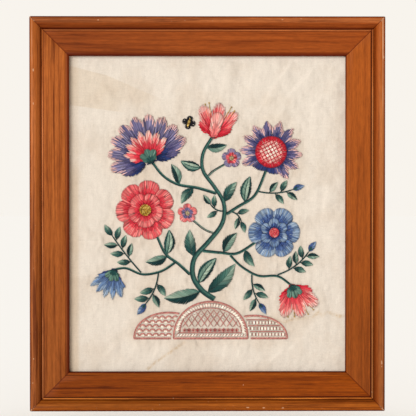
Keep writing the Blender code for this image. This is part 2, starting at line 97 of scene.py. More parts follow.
# %% [markdown]
# Every piece of this scene is placed by the linen's own box, so that a stitch lands on the
# cloth wherever the model puts it. A design point is written in millimetres from the middle
# of the cloth, x to the right and z up, and a height is measured from the cloth's face
# towards the viewer.

# %% Find the linen's face
linen_low, linen_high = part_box("linen")
LINEN_X = (linen_low.x + linen_high.x) / 2
LINEN_Z = (linen_low.z + linen_high.z) / 2
FACE_Y = linen_low.y
WOOL_LAYER = 1.5       # the height from one layer of stitches to the next
print(f"linen face at y = {FACE_Y / MM:.2f} mm, middle at z = {LINEN_Z / MM:.1f} mm")

# %% [markdown]
# The photograph was taken almost square on, from about arm's length and a half. Its corners
# give the small turn and tilt. A long lens keeps the rails parallel.

# %% Set the camera
CAMERA_PLACE = (-0.0126, -1.600, -0.2055)
CAMERA_TURN = -0.478   # degrees, to the right
CAMERA_TILT = -0.661   # degrees, downward
CAMERA_LENS = 106.6

camera_data = bpy.data.cameras.new("camera")
camera_data.lens = CAMERA_LENS
camera_data.sensor_width = 36.0
camera = bpy.data.objects.new("camera", camera_data)
camera.location = CAMERA_PLACE
camera.rotation_euler = (math.radians(90 + CAMERA_TILT), 0, math.radians(CAMERA_TURN))
bpy.context.scene.collection.objects.link(camera)
bpy.context.scene.camera = camera

# %% [markdown]
# A material or a sky is a handful of nodes. What comes out of a node is kept here as a
# value, and a value knows how to add the next node: values are added and multiplied like
# numbers, fitted to another range, mixed as colours, or turned into noise or a bump.

# %% Helpers for nodes
def feed(socket, value):
    """Give an input a number, a colour, or what comes out of another node."""
    if isinstance(value, Value):
        socket.id_data.links.new(value.socket, socket)
    else:
        socket.default_value = (*value, 1.0) if socket.type == "RGBA" else value


def add_node(tree, kind, inputs, output=0, **settings):
    """Add a node with its inputs, by name or number, and its settings; return one output."""
    node = tree.nodes.new(f"ShaderNode{kind}")
    for key, value in settings.items():
        setattr(node, key, value)
    for key, value in inputs.items():
        feed(node.inputs[key], value)
    return Value(node.outputs[output])


class Value:
    """What comes out of a node; each method adds the next node and returns its value."""

    def __init__(self, socket):
        self.socket = socket

    def to(self, kind, inputs, output=0, **settings):
        return add_node(self.socket.id_data, kind, inputs, output, **settings)

    def maths(self, kind, *others):
        return self.to("Math", dict(enumerate((self, *others))), operation=kind)

    def __add__(self, other):
        return self.maths("ADD", other)

    def __sub__(self, other):
        return self.maths("SUBTRACT", other)

    def __mul__(self, other):
        return self.maths("MULTIPLY", other)

    def __abs__(self):
        return self.maths("ABSOLUTE")

    def most(self, other):
        return self.maths("MAXIMUM", other)

    def least(self, other):
        return self.maths("MINIMUM", other)

    def fit(self, low, high, to_low=0.0, to_high=1.0):
        """A smooth step: to_low at the low value and to_high at the high one."""
        return self.to("MapRange", dict(enumerate((self, low, high, to_low, to_high))),
                       interpolation_type="SMOOTHSTEP")

    def ramp(self, stops):
        """A colour for each number; stops are (position, colour), lowest first."""
        ramp = self.to("ValToRGB", {"Fac": self}, "Color")
        elements = ramp.socket.node.color_ramp.elements
        while len(elements) < len(stops):
            elements.new(1.0)
        for element, (position, colour) in zip(elements, stops):
            element.position = position
            element.color = (*colour, 1.0)
        return ramp

    def mix(self, other, amount, kind="MIX"):
        """This colour with an amount of another."""
        return self.to("Mix", {0: amount, 6: self, 7: other}, 2, data_type="RGBA", blend_type=kind)

    def times(self, other):
        """This colour multiplied by another, or by a number."""
        return self.mix(other, 1.0, "MULTIPLY")

    def axes(self):
        """The x, y and z of a place."""
        return [Value(socket) for socket in self.to("SeparateXYZ", {0: self}).socket.node.outputs]

    def mapped(self, scale, shift=(0, 0, 0)):
        return self.to("Mapping", {"Vector": self, "Scale": scale, "Location": shift}, "Vector")

    def noise(self, scale, detail=3.0, roughness=0.55, distortion=0.0):
        return self.to("TexNoise", {"Vector": self, "Scale": scale, "Detail": detail,
                                    "Roughness": roughness, "Distortion": distortion}, "Fac")

    def wave(self, direction, scale, distortion, detail_scale=1.0):
        return self.to("TexWave", {"Vector": self, "Scale": scale, "Distortion": distortion,
                                   "Detail": 1.0, "Detail Scale": detail_scale},
                       "Fac", wave_type="BANDS", bands_direction=direction)

    def stored(self, name, output="Fac"):
        """What the mesh carries under a name at this place."""
        return self.to("Attribute", {}, output, attribute_name=name)

    def bump(self, strength, distance, over=None):
        """The surface raised by this value, over another bump if there is one."""
        inputs = {"Height": self, "Strength": strength, "Distance": distance}
        return self.to("Bump", {**inputs, "Normal": over} if over else inputs, "Normal")


def start_finish(name):
    """A new material, and the place on its object that its nodes start from."""
    finish = bpy.data.materials.new(name)
    finish.use_nodes = True
    return finish, add_node(finish.node_tree, "TexCoord", {}, "Object")


def set_shader(finish, **inputs):
    """Feed the shader's own inputs; an underscore stands for a space in their names."""
    for name, value in inputs.items():
        feed(finish.node_tree.nodes["Principled BSDF"].inputs[name.replace("_", " ")], value)
    return finish


def from_screen(red, green, blue):
    """A colour as a screen shows it, 0 to 255, in the linear values that shaders take."""
    return tuple(((c / 255 + 0.055) / 1.055) ** 2.4 if c > 10 else c / 3294
                 for c in (red, green, blue))


print("a middle grey in linear values:", round(from_screen(128, 128, 128)[0], 3))

# %% [markdown]
# Soft daylight comes from the upper left: a broad key light gives the rails their lit and
# shaded sides, and the world fills the rest. As in a studio, the backdrop is brighter than
# the light it throws on the pieces, so the camera sees the world at full strength and the
# pieces are lit by a share of it. The standard view keeps the colours as they are.

# %% Light the scene
KEY_PATH = Vector((0.47, 0.82, -0.21))
KEY_STRENGTH = 2.35
KEY_SPREAD = 34.0      # degrees
KEY_COLOUR = (1.0, 0.975, 0.94)
BACKDROP = (0.940, 0.903, 0.845)
FILL_SHARE = 0.52      # of the backdrop's brightness


def add_lamp(name, path, strength, spread, colour):
    """A lamp far away, whose light runs along a path."""
    lamp_data = bpy.data.lights.new(name, "SUN")
    lamp_data.energy = strength
    lamp_data.angle = math.radians(spread)
    lamp_data.color = colour
    lamp = bpy.data.objects.new(name, lamp_data)
    lamp.rotation_mode = "QUATERNION"
    lamp.rotation_quaternion = path.to_track_quat("-Z", "Y")
    bpy.context.scene.collection.objects.link(lamp)
    return lamp


key_lamp = add_lamp("key_lamp", KEY_PATH, KEY_STRENGTH, KEY_SPREAD, KEY_COLOUR)
world = bpy.data.worlds.new("daylight")
world.use_nodes = True
sky = world.node_tree.nodes["Background"]
seen = add_node(world.node_tree, "LightPath", {}, "Is Camera Ray")
feed(sky.inputs["Color"], BACKDROP)
feed(sky.inputs["Strength"], seen * (1.0 - FILL_SHARE) + FILL_SHARE)
bpy.context.scene.world = world
bpy.context.scene.view_settings.view_transform = "Standard"
print("key light's path:", [round(c, 2) for c in KEY_PATH.normalized()])

# %% [markdown]
# ## The rails
# A picture-frame moulding is milled along its whole length with one cutter, then mitred. The
# model here is made the same way: the section is drawn once, pushed along the length, and
# cut at 45 degrees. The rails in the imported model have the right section, but this finer one
# has rounder rolls and eased edges, so the light runs along them as it does on real wood.

# %% Draw the moulding's section
SIGHT_WIDTH, SIGHT_HEIGHT = 355.6, 406.4       # millimetres, as all of the moulding's sizes
MOULDING_WIDTH = 50.8
REBATE_DEPTH = 10.5
OUTER_WIDTH = SIGHT_WIDTH + 2 * MOULDING_WIDTH
OUTER_HEIGHT = SIGHT_HEIGHT + 2 * MOULDING_WIDTH


def arc(centre_u, centre_v, reach_u, reach_v, first, last, steps):
    angles = [math.radians(first + (last - first) * i / steps) for i in range(steps + 1)]
    return [(centre_u + reach_u * math.cos(a), centre_v + reach_v * math.sin(a)) for a in angles]


def moulding_section(inset=0.0):
    """Rows of u, in from the outer edge, and v, forward from the wall.

    The quirk, the strip and the groove lie further in by the inset."""
    roll = arc(5.0, 15.5, 5.0, 6.0, 180, 90, 9) + arc(5.0, 12.9, 10.0, 8.6, 82, 30, 8)
    lines = [(14.3, 16.0), (14.6, 15.0), (14.7, 14.2), (15.2, 14.2), (15.25, 16.2), (15.3, 16.9),
             (15.5, 17.2), (17.2, 17.2), (17.4, 17.1), (17.5, 16.7), (18.0, 16.7), (18.05, 17.9),
             (18.3, 18.5), (18.9, 18.68), (19.6, 18.66)]
    flat = [(27.0, 18.35), (37.0, 17.9), (41.5, 17.7), (44.8, 17.56), (45.4, 17.5), (45.8, 17.4)]
    sight = [(46.0, 16.9), (46.3, 16.9)] + arc(48.4, 15.2, 2.4, 2.2, 130, 0, 9)
    back = [(50.8, 12.5), (50.8, REBATE_DEPTH), (44.8, REBATE_DEPTH), (44.8, 0.3), (44.5, 0.0),
            (0.4, 0.0), (0.0, 0.4)]
    return roll + [(u + inset, v) for u, v in lines] + flat + sight + back


print("points round the moulding:", len(moulding_section()))

# %% [markdown]
# A disc with as many corners as the section gives the first face, and its corners are moved
# onto the section. Extruding that face step by step makes the length, bisecting it makes the
# mitres, and more cuts take off the sharp tip. A real frame's sharp ends are eased by sanding
# and handling, which a small bevel on the cut edges shows.

# %% Mill one rail
RAIL_STEPS = 12
MITRE_JOINT = 0.03              # millimetres between two rails
CORNER_RADIUS = 2.5
CORNER_LEANS = (8, 22.5, 37)    # degrees of the cuts that round the tip


def deselect_all():
    for item in bpy.context.selected_objects:
        item.select_set(False)


def activate(piece):
    deselect_all()
    bpy.context.view_layer.objects.active = piece
    piece.select_set(True)


def cut_away(point, normal):
    """Cut the piece in edit mode by a plane, and close the cut."""
    bpy.ops.mesh.select_all(action="SELECT")
    bpy.ops.mesh.bisect(plane_co=point, plane_no=normal, use_fill=True, clear_outer=True)


def mill_rail(name, side_length, inset):
    """A rail along X, its outer edge at z = 0 and its back at y = 0, in metres."""
    section = moulding_section(inset)
    deselect_all()
    bpy.ops.mesh.primitive_circle_add(vertices=len(section), radius=1.0, fill_type="NGON")
    rail = bpy.context.object
    rail.name = name
    for vertex, (u, v) in zip(rail.data.vertices, section):
        vertex.co = Vector((-side_length / 2, -v, -u)) * MM
    step = side_length / RAIL_STEPS * MM
    bpy.ops.object.mode_set(mode="EDIT")
    bpy.ops.mesh.select_all(action="SELECT")
    for _ in range(RAIL_STEPS):
        bpy.ops.mesh.extrude_region_move(TRANSFORM_OT_translate={"value": (step, 0, 0)})
    for end in (-1, 1):
        tip = (side_length / 2 - MITRE_JOINT / math.sqrt(2)) * end * MM
        cut_away((tip, 0, 0), (end, 0, -1))
        middle = Vector((end * (side_length / 2 - CORNER_RADIUS), 0, -CORNER_RADIUS)) * MM
        for lean in map(math.radians, CORNER_LEANS):
            normal = Vector((end * math.sin(lean), 0, math.cos(lean)))
            cut_away(middle + normal * CORNER_RADIUS * MM, normal)
    bpy.ops.mesh.select_all(action="SELECT")
    bpy.ops.mesh.normals_make_consistent(inside=False)
    bpy.ops.object.mode_set(mode="OBJECT")
    return rail


# %% [markdown]
# Each rail is milled along X and then turned into place about the frame's middle. A turn of
# the mesh itself leaves the object unturned at the origin, as the imported model's parts are.
# Two values are stored on the mesh for the stain and the painted light. One is how dark a line
# along the rail is: stain gathers in the grooves and painted shade darkens those that face away
# from the light, while raised edges are rubbed pale and carry a painted highlight where they
# face it, which counts below zero. The other tells the unstained back from the rest. The light
# falls from the upper left, so on the top and left rails the painted shadow lies in the quirk,
# and on the right and bottom rails in the groove beside the flat, whose edge stands over it.
# Each rail's quirk and groove lie in by its own inset.

# %% Place the four rails
# The sight edge's stain and painted shade: deep on the top and left rails, whose bead faces away
# from the light; on the lit right and bottom rails, a painted highlight on the bead before a dark
# edge.
SHADED_SIGHT = [(43.0, 0.0), (46.3, 0.35), (47.6, 0.62), (49.4, 0.85), (50.8, 1.0)]
LIT_SIGHT = [(37.0, 0.0), (41.5, 0.26), (44.8, 0.30), (45.6, -0.3), (48.4, -0.3),
              (49.6, 0.45), (50.8, 1.0)]
RAILS = [
    # node, turn about Y, inset of the quirk, how rubbed and lit the roll is, how much stain and
    # painted shade its cove, the quirk and the groove get (below zero, a painted highlight), how
    # rubbed and lit the strip is, and the painted shade and highlight at the sight edge
    ("rail_top", 0, 1.8, 0.95, 0.75, 1.1, 0.28, 1.1, SHADED_SIGHT),
    ("rail_right", 90, 0.1, 0.50, 1.4, 0.20, 1.5, 0.8, LIT_SIGHT),
    ("rail_bottom", 180, 0.2, 0.42, -1.2, 0.50, 1.4, 1.8, LIT_SIGHT),
    ("rail_left", 270, 0.6, 0.50, 0.85, 0.6, 0.2, 0.8, SHADED_SIGHT),
]
PLAIN = 0.4                     # the darkness of the rebate and the sides
EASED = 0.18                    # millimetres of bevel on the sawn edges


def paint_line(inset, rubbed, cove, quirk, groove, strip, sight):
    """How much stain and painted shade each u gets, from the roll and its cove in to the sight
    edge; below zero, rubbing and a painted highlight.
    """
    roll = [(0.0, 0.8), (1.7, 0.65), (2.9, -rubbed), (8.0, -rubbed), (9.6, min(0.0, 0.5 * cove)),
            (10.8, 0.22 * cove), (12.3, 0.35 * cove), (13.2, 0.46 * cove)]
    lines = [(14.0, 0.50 * cove), (14.4, quirk), (15.22, quirk), (15.3, -0.3), (15.5, -strip),
             (17.2, -strip), (17.35, groove), (19.05, groove), (19.6, 0.0)]
    return roll + [(u + inset, value) for u, value in lines] + sight


def store(mesh, name, where, values):
    """Keep a number for each point, edge or face of a mesh."""
    mesh.attributes.new(name, "FLOAT", where).data.foreach_set("value", values)


def mark_stain_and_shade(mesh, table):
    """Store the stain and painted shade of each point's line of the moulding."""
    places, values = zip(*table)
    store(mesh, "sunk", "POINT",
          [float(np.interp(-vertex.co.z / MM, places, values))
           if -vertex.co.y / MM > REBATE_DEPTH + 0.1 else PLAIN for vertex in mesh.vertices])


def ease_cut_edges(rail):
    """Round the sharp edges that the mitre saw left, but not the edges along the rail."""
    mesh = rail.data
    sawn = {key for face in mesh.polygons if abs(face.normal.x) > 0.05 for key in face.edge_keys}
    store(mesh, "bevel_weight_edge", "EDGE", [float(edge.key in sawn) for edge in mesh.edges])
    bevel = rail.modifiers.new("eased edges", "BEVEL")
    bevel.width = EASED * MM
    bevel.segments = 2
    bevel.limit_method = "WEIGHT"
    activate(rail)
    bpy.ops.object.modifier_apply(modifier=bevel.name)


def triangles(piece):
    return sum(len(face.vertices) - 2 for face in piece.data.polygons)


rails = {}
for node, turn, inset, *tones in RAILS:
    side_length, other = (OUTER_HEIGHT, OUTER_WIDTH) if turn % 180 else (OUTER_WIDTH, OUTER_HEIGHT)
    rail = mill_rail(f"milled_{node}", side_length, inset)
    mark_stain_and_shade(rail.data, paint_line(inset, *tones))
    store(rail.data, "bare", "FACE", [float(face.normal.y > 0.9) for face in rail.data.polygons])
    ease_cut_edges(rail)
    for vertex in rail.data.vertices:
        vertex.co.z += other / 2 * MM
    activate(rail)
    rail.rotation_euler = (0, math.radians(turn), 0)
    bpy.ops.object.transform_apply(location=False, rotation=True, scale=False)
    for vertex in rail.data.vertices:
        vertex.co.z += LINEN_Z
    bpy.ops.object.shade_smooth_by_angle(angle=math.radians(35))
    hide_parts(node)
    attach(rail, "root")
    rails[node] = rail
    low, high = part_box(node)
    print(node, "triangles:", triangles(rail), "height, mm:", round((high.z - low.z) / MM, 1))

# %% [markdown]
# Stained softwood shows its grain in long streaks: soft bands of early wood, thin dark lines
# of late wood, and short fine pores. The bands and the pores are noise squeezed hard along
# the rail. The late wood is a row of even lines that noise makes drift and fade. Stain
# gathers in the grooves and the joints and wears off the rubbed crests, and over this a
# painted shade darkens the grooves on the side away from the light, and a painted highlight
# pales the crests and strips that face it. The varnish is chipped at a few named places,
# knocked here and there, and worn in a thin line along one roll. Every rail is cut from its
# own board, so each has its own shift of the grain and a livelier or calmer figure. Its tone
# also holds painted shade, as each rail faces the light in its own way, and changes slowly
# along its length, darker at the foot or left end.

# %% Stain the wood
RAW_WOOD = [(0.35, from_screen(176, 134, 88)), (0.62, from_screen(214, 172, 120))]
CHIP_PALE = from_screen(222, 178, 142)
RAIL_TONES_AND_SHADE = {
    # node: grain runs along, shift of the grain, the rail's own tone with its painted shade,
    # liveliness, the tone at the foot or left end and at the top or right end, how much paler a
    # rubbed and lit place is in red, green and blue, and how worn the roll is near its upper end
    "rail_left": ("Z", 0.7, from_screen(152, 80, 32), 1.45, (0.80, 1.06), (1.36, 1.62, 2.7), 0.25),
    "rail_right": ("Z", 3.1, from_screen(147, 73, 23), 0.60, (0.80, 1.08), (1.34, 2.0, 4.4), 0.85),
    "rail_top": ("X", 5.9, from_screen(132, 61, 19), 1.0, (0.93, 1.14), (1.36, 1.85, 3.4), 0.0),
    "rail_bottom": ("X", 6.4, from_screen(122, 54, 6), 1.5, (0.95, 1.16), (1.46, 2.2, 5.8), 0.0),
}
CHIPS = {
    # node: the middle of each chip in the varnish (x, z) with half its width and height, in mm
    "rail_left": [(-223, -47, 0.8, 1.6), (-223, -417, 0.7, 0.9), (-224, -448, 0.5, 0.7),
                  (-223, -90, 0.5, 1.2)],
    "rail_right": [(223.8, -422.5, 0.8, 2.0), (223.8, -427.5, 0.6, 0.8), (225.4, -31, 0.8, 2.6)],
    "rail_top": [(96, 17.5, 1.2, 0.5), (-140, 16.8, 0.8, 0.5)],
    "rail_bottom": [(52, -480, 1.6, 0.7), (72, -480.4, 1.8, 0.6), (96.5, -480.6, 1.4, 0.8),
                    (46, -451.5, 0.7, 0.6)],
}
RAIL_SPAN = {"X": (-0.20, 0.20), "Z": (-0.48, -0.02)}      # metres, where its two tones are
LONG_GRAIN, SHORT_GRAIN = 0.030, 0.09      # how far the noise is squeezed along the rail
YEAR_WIDTH, YEAR_DRIFT = 0.0044, 5.0       # metres from line to line, and lines of drift
JOINT_LINE = (0.0003, 0.0010)              # metres from a mitre to where its dark line fades
TIP_WEAR, CORNER_WEAR = 0.0016, (0.003, 0.009)             # the worn part of a mitre's tip
ROLL_LINE, ROLL_LINE_FADE = 0.0038, (0.0002, 0.0009)       # the worn line on the right roll


def mitre_distances(x, z):
    """How far a point of the front lies from the nearest mitre and from the outer edge."""
    across = abs(x) * -1.0 + OUTER_WIDTH / 2 * MM
    down = abs(z - LINEN_Z) * -1.0 + OUTER_HEIGHT / 2 * MM
    return abs(across - down), across.least(down)


def chip_at(place, ragged, x, z, half_width, half_height):
    """High in one chip and 0 elsewhere, with a ragged rim."""
    near = place.mapped((1 / (half_width * MM), 0.0, 1 / (half_height * MM)),
                        (-x / half_width, 0.0, -z / half_height))
    away = near.to("VectorMath", {0: near}, "Value", operation="LENGTH")
    return (away + ragged).fit(0.8, 1.2, 0.55, 0.0)


def wood_finish(name, along, shift, tone, lively, ends, rubbed_and_lit_tint, worn_roll, chips):
    finish, place = start_finish(name)
    x, _, z = place.axes()
    length, width = (x, z) if along == "X" else (z, x)

    def squeezed(share):
        return (share, 1.0, 1.0) if along == "X" else (1.0, 1.0, share)

    def toned(*shares):
        return tuple(c * share for c, share in zip(tone, shares))

    grain = place.mapped(squeezed(LONG_GRAIN), (shift, shift * 0.37, shift * 0.61))
    short = place.mapped(squeezed(SHORT_GRAIN))
    bands = grain.noise(100.0, detail=2.0, roughness=0.5, distortion=0.25)
    lines = grain.noise(330.0, roughness=0.6, distortion=0.4)
    pores = short.noise(900.0, roughness=0.65)
    cloud = place.mapped((1, 1, 1), (shift, 0, 0)).noise(9.0, detail=2.0)
    figure = bands * 0.36 + lines * 0.64
    dark = toned(*(1 - lively * share for share in (0.36, 0.42, 0.42)))
    light = toned(*(1 + lively * share for share in (0.20, 0.27, 0.35)))
    colour = figure.ramp([(0.38, dark), (0.47, tone), (0.62, light)])
    colour = colour.times(pores.fit(0.32, 0.68, 0.84, 1.12)).times(cloud.fit(0.3, 0.7, 0.95, 1.05))

    years = width * (1 / YEAR_WIDTH) + grain.noise(26.0, detail=1.0) * YEAR_DRIFT
    late = years.maths("PINGPONG", 0.5).fit(0.0, 0.2, 1.0, 0.0) * cloud.fit(0.35, 0.6, 0.3, 1.0)
    colour = colour.mix(toned(0.50, 0.42, 0.42), late * (0.5 * (lively - 0.4)))

    # The stored line: stain and painted shade above zero, rubbing and painted highlight below.
    sunk = place.stored("sunk")
    rubbed_and_lit = sunk.fit(-1.0, 0.0, 1.0, 0.0)
    if along == "Z":
        rubbed_and_lit = rubbed_and_lit * z.fit(-0.11, -0.03, 1.0, 0.1)
    dark_stain_and_shade = toned(0.36, 0.16, 0.10)
    colour = colour.mix(colour.times(rubbed_and_lit_tint), rubbed_and_lit).mix(dark_stain_and_shade, sunk.fit(0.15, 0.9, 0.0, 0.92))
    # More painted shadow in the darkest grooves, more painted highlight on the most lit strips.
    colour = colour.times(sunk.fit(1.0, 1.5, 1.0, 0.6)).times(sunk.fit(-2.0, -1.0, 1.6, 1.0))
    colour = colour.times(length.fit(*RAIL_SPAN[along], *ends))

    mitre, from_outside = mitre_distances(x, z)
    colour = colour.mix(dark_stain_and_shade, mitre.fit(*JOINT_LINE, 0.85, 0.0))
    specks = place.noise(420.0, detail=2.0)
    near_tip = mitre.fit(0.0, TIP_WEAR, 1.0, 0.0) * from_outside.fit(*CORNER_WEAR, 1.0, 0.0)
    knocks = place.noise(300.0, detail=1.0).fit(0.76, 0.80, 0.0, 0.5) * rubbed_and_lit
    worn = (near_tip * specks.fit(0.42, 0.56, 0.0, 0.8)).most(knocks)
    ragged = specks.fit(0.3, 0.7, -0.4, 0.4)
    for chip in chips:
        worn = worn.most(chip_at(place, ragged, *chip))
    if worn_roll:
        line = abs(from_outside - ROLL_LINE).fit(*ROLL_LINE_FADE, 1.0, 0.0)
        line = line * z.fit(-0.13, -0.02, 0.12 * worn_roll, worn_roll)
        worn = worn.most(line * short.noise(420.0).fit(0.40, 0.60, 0.35, 1.0))
    colour = colour.mix(CHIP_PALE, worn)

    bare = place.stored("bare")
    polish = figure.fit(0.35, 0.65, 0.50, 0.40).most(bare * 0.85)
    return set_shader(finish, Base_Color=colour.mix(lines.ramp(RAW_WOOD), bare), Roughness=polish,
                      Specular_IOR_Level=0.06,
                      Normal=pores.bump(0.20, 0.0001, figure.bump(0.2, 0.0004)))


for node, board in RAIL_TONES_AND_SHADE.items():
    rails[node].data.materials.clear()
    rails[node].data.materials.append(wood_finish(f"stain_on_{node}", *board, CHIPS[node]))
print("stained rails:", len(RAIL_TONES_AND_SHADE))

# %% [markdown]
# ## The board
# The board behind the linen is plain hardboard: brown, with a fine fibrous fleck. Its packed
# shape is right, so only its material changes.

# %% Finish the board
def board_finish():
    finish, place = start_finish("brown_hardboard")
    fibre = place.noise(900.0, detail=4.0)
    colour = fibre.ramp([(0.3, from_screen(112, 80, 52)), (0.7, from_screen(158, 122, 84))])
    colour = colour.times(place.noise(12.0, detail=2.0).fit(0.3, 0.7, 0.88, 1.06))
    return set_shader(finish, Base_Color=colour, Roughness=0.85, Normal=fibre.bump(0.3, 0.0003))


board = frame["nodes"]["backing_board"]
for slot in board.material_slots:
    slot.material = board_finish()
print("board finished:", board.name)

# %% [markdown]
# ## The design
# The worked tree is a common crewel one: a bent trunk from three mounds, with a different
# flower at the end of each bough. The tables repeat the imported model's own, because a stitch
# has to know more than a plate's outline: which way it runs, and which shade of wool it is.

# %% Stems, leaves, twigs, mounds and flowers of the tree
ROUND, SOFT, KEEN = (2.4, 0.55), (1.7, 0.7), (1.1, 0.9)
STEM_GAP = 0.7
TWIG_WIDTH, TWIG_LEAN, TWIG_FIRST, STALK_LENGTH = 1.8, 52, 0.30, 2.0

STEMS = [
    # name, parent, along, side, width at the foot, width at the tip, points (x, z)
    ("trunk", None, 0, 0, 7.0, 3.6,
     [(5, -107.5), (-8, -98), (-19, -80), (-17, -57), (1, -36), (19, -12),
      (21, 14), (8, 36), (-6, 56), (-6, 78), (5, 97.5)]),
    ("bough_rose", "trunk", 0.22, 1, 3.8, 3.0, [(-38, -64), (-54, -52), (-64.3, -31)]),
    ("bough_blue", "trunk", 0.36, -1, 3.8, 3.0, [(18, -50), (38, -51), (60.2, -37.6)]),
    ("bough_seed", "trunk", 0.55, -1, 3.8, 3.0, [(40, 10), (61, 24), (74.4, 54)]),
    ("bough_fan", "trunk", 0.67, 1, 3.8, 3.0, [(-14, 34), (-38, 38), (-57, 49), (-70, 64.8)]),
    ("bough_bell", "bough_rose", 0.42, 1, 3.0, 2.8,
     [(-60, -74), (-84, -78), (-104, -70), (-116.4, -70.8)]),
    ("bough_bud", "bough_blue", 0.55, -1, 3.0, 2.8,
     [(44, -68), (66, -80), (90, -80), (106, -90.5)]),
    ("sprig_middle", "trunk", 0.44, 1, 2.6, 2.4, [(-4, -20), (-17.3, -9.4)]),
    ("sprig_top", "trunk", 0.76, -1, 2.6, 2.4, [(8, 56), (20.6, 63.3)]),
]
LEAVES = [
    # stem, along, side, lean, length, width, bend, manner of working
    ("trunk", 0.10, 1, 60, 46, 19, 3, "halves"),
    ("trunk", 0.05, -1, 98, 50, 19, -3, "paling"),
    ("trunk", 0.15, -1, 66, 38, 16, 2, "edged"),
    ("trunk", 0.31, 1, 40, 33, 15, 2, "paling"),
    ("bough_rose", 0.62, 1, 58, 27, 13, 2, "halves"),
    ("bough_rose", 0.66, -1, 50, 30, 14, -2, "edged"),
    ("bough_blue", 0.38, 1, 62, 29, 14, 2, "halves"),
    ("bough_blue", 0.80, -1, 92, 23, 11, -2, "paling"),
    ("bough_seed", 0.48, 1, 50, 32, 14, 2, "edged"),
    ("trunk", 0.61, -1, 52, 28, 13, 2, "paling"),
    ("bough_fan", 0.30, 1, 62, 24, 12, -2, "paling"),
    ("bough_fan", 0.50, -1, 46, 26, 12, -2, "halves"),
    ("trunk", 0.82, 1, 58, 26, 13, 2, "edged"),
    ("trunk", 0.94, -1, 52, 25, 12, -2, "halves"),
]
TWIGS = [
    # stem, along, side, lean, length, bend, leaves, leaf length, leaf width, what ends it
    ("bough_bell", 0.30, 1, 50, 40, 3, 5, 17, 9, "bud"),
    ("bough_bell", 0.54, -1, 38, 58, 1, 7, 16, 8, "leaf"),
    ("bough_bud", 0.42, -1, 48, 36, -3, 5, 16, 8, "bud"),
    ("bough_bud", 0.76, 1, 60, 48, -4, 7, 15, 8, "bud"),
    ("bough_seed", 0.16, -1, 80, 15, 2, 3, 14, 7, "leaf"),
    ("bough_seed", 0.74, -1, 56, 42, -3, 5, 15, 8, "bud"),
    ("trunk", 0.56, 1, 60, 16, 2, 3, 14, 7, "leaf"),
]
MOUNDS = {
    # name: x, foot, width, height
    "mound_middle": (4, -162, 98, 50),
    "mound_left": (-50, -162, 92, 36),
    "mound_right": (60, -162, 88, 32),
}
FLOWERS = [
    # name, slot, layer, x, z, turn, petals, spread, root, shoulder, valley, reach, tip
    ("rose_petals", "coral_wool", 0, -80, 5, 10, 7, 360, 0, 0, 31, 39, ROUND),
    ("rose_middle", "red_wool", 1, -80, 5, 36, 5, 360, 0, 0, 18, 23, ROUND),
    ("blue_petals", "blue_wool", 0, 86, -24, 0, 6, 360, 0, 0, 26, 34, ROUND),
    ("blue_middle", "sky_wool", 1, 86, -24, 30, 6, 360, 0, 0, 13, 19, SOFT),
    ("seed_crown", "blue_wool", 0, 82, 80, 18, 11, 286, 24, 60, 30, 41, KEEN),
    ("fan_petals", "lilac_wool", 0, -76, 76, -22, 9, 200, 12, 55, 42, 52, SOFT),
    ("fan_middle", "coral_wool", 1, -76, 76, -22, 7, 160, 8, 50, 24, 32, KEEN),
    ("fan_cup", "green_wool", 2, -74, 71, -22, 3, 150, 6, 60, 10, 14, SOFT),
    ("tulip_petals", "coral_wool", 0, 9, 104, 12, 3, 110, 7, 70, 25, 39, SOFT),
    ("tulip_heart", "pink_wool", 1, 9, 104, 12, 1, 64, 5, 50, 12, 28, SOFT),
    ("bell_petals", "blue_wool", 0, -121, -75, 202, 5, 96, 5, 45, 25, 35, KEEN),
    ("bell_cap", "green_wool", 1, -121, -75, 202, 3, 130, 4, 60, 9, 13, SOFT),
    ("bud_petals", "coral_wool", 0, 110, -96, 162, 3, 112, 6, 60, 26, 39, SOFT),
    ("bud_cap", "green_wool", 1, 110, -96, 162, 3, 130, 5, 60, 10, 14, SOFT),
    ("blossom_middle", "pink_wool", 0, -26, 1, 0, 5, 360, 0, 0, 8, 13, ROUND),
    ("blossom_top", "lilac_wool", 0, 31, 72, 0, 5, 360, 0, 0, 8, 13, ROUND),
    ("moth_wings", "gold_wool", 0, -24, 118, 62, 4, 360, 0, 0, 3, 9, ROUND),
]
print("stems, leaves, twigs, petal layers:", *map(len, (STEMS, LEAVES, TWIGS, FLOWERS)))

# %% [markdown]
# The same few formulas draw the lines that the stitches follow: a smooth curve through a
# stem's points, a petal's edge, and the arch of a mound.

# %% Lines of the design
def smooth_line(points, steps):
    padded = [points[0]] + points + [points[-1]]
    line = []
    for i in range(len(points) - 1):
        before, start, end, after = (Vector(point) for point in padded[i:i + 4])
        for k in range(steps):
            t = k / steps
            line.append(0.5 * (2 * start + (end - before) * t
                               + (2 * before - 5 * start + 4 * end - after) * t ** 2
                               + (3 * start - before - 3 * end + after) * t ** 3))
    return line + [Vector(points[-1])]


def point_along(line, along):
    place = along * (len(line) - 1)
    i = min(int(place), len(line) - 2)
    step = line[i + 1] - line[i]
    return line[i] + step * (place - i), step.normalized()


def left_of(direction):
    return Vector((-direction.y, direction.x))


def leaning(direction, degrees):
    """A direction turned to its left by some degrees."""
    angle = math.radians(degrees)
    return direction * math.cos(angle) + left_of(direction) * math.sin(angle)


def growing_point(stem, along, side, lean, own_width=0.0):
    """Where something grows from a stem, just clear of its edge, and the way it leans."""
    line, foot_width, tip_width = stems[stem]
    start, direction = point_along(line, along)
    half = (foot_width + (tip_width - foot_width) * along) / 2
    away = half + STEM_GAP + own_width / 2 * math.cos(math.radians(lean))
    return start + left_of(direction) * side * away, leaning(direction, lean * side)


def bowed_line(foot, direction, length, bend, steps=10):
    across = left_of(direction)
    return [foot + direction * length * t + across * bend * 4 * t * (1 - t)
            for t in (i / steps for i in range(steps + 1))]


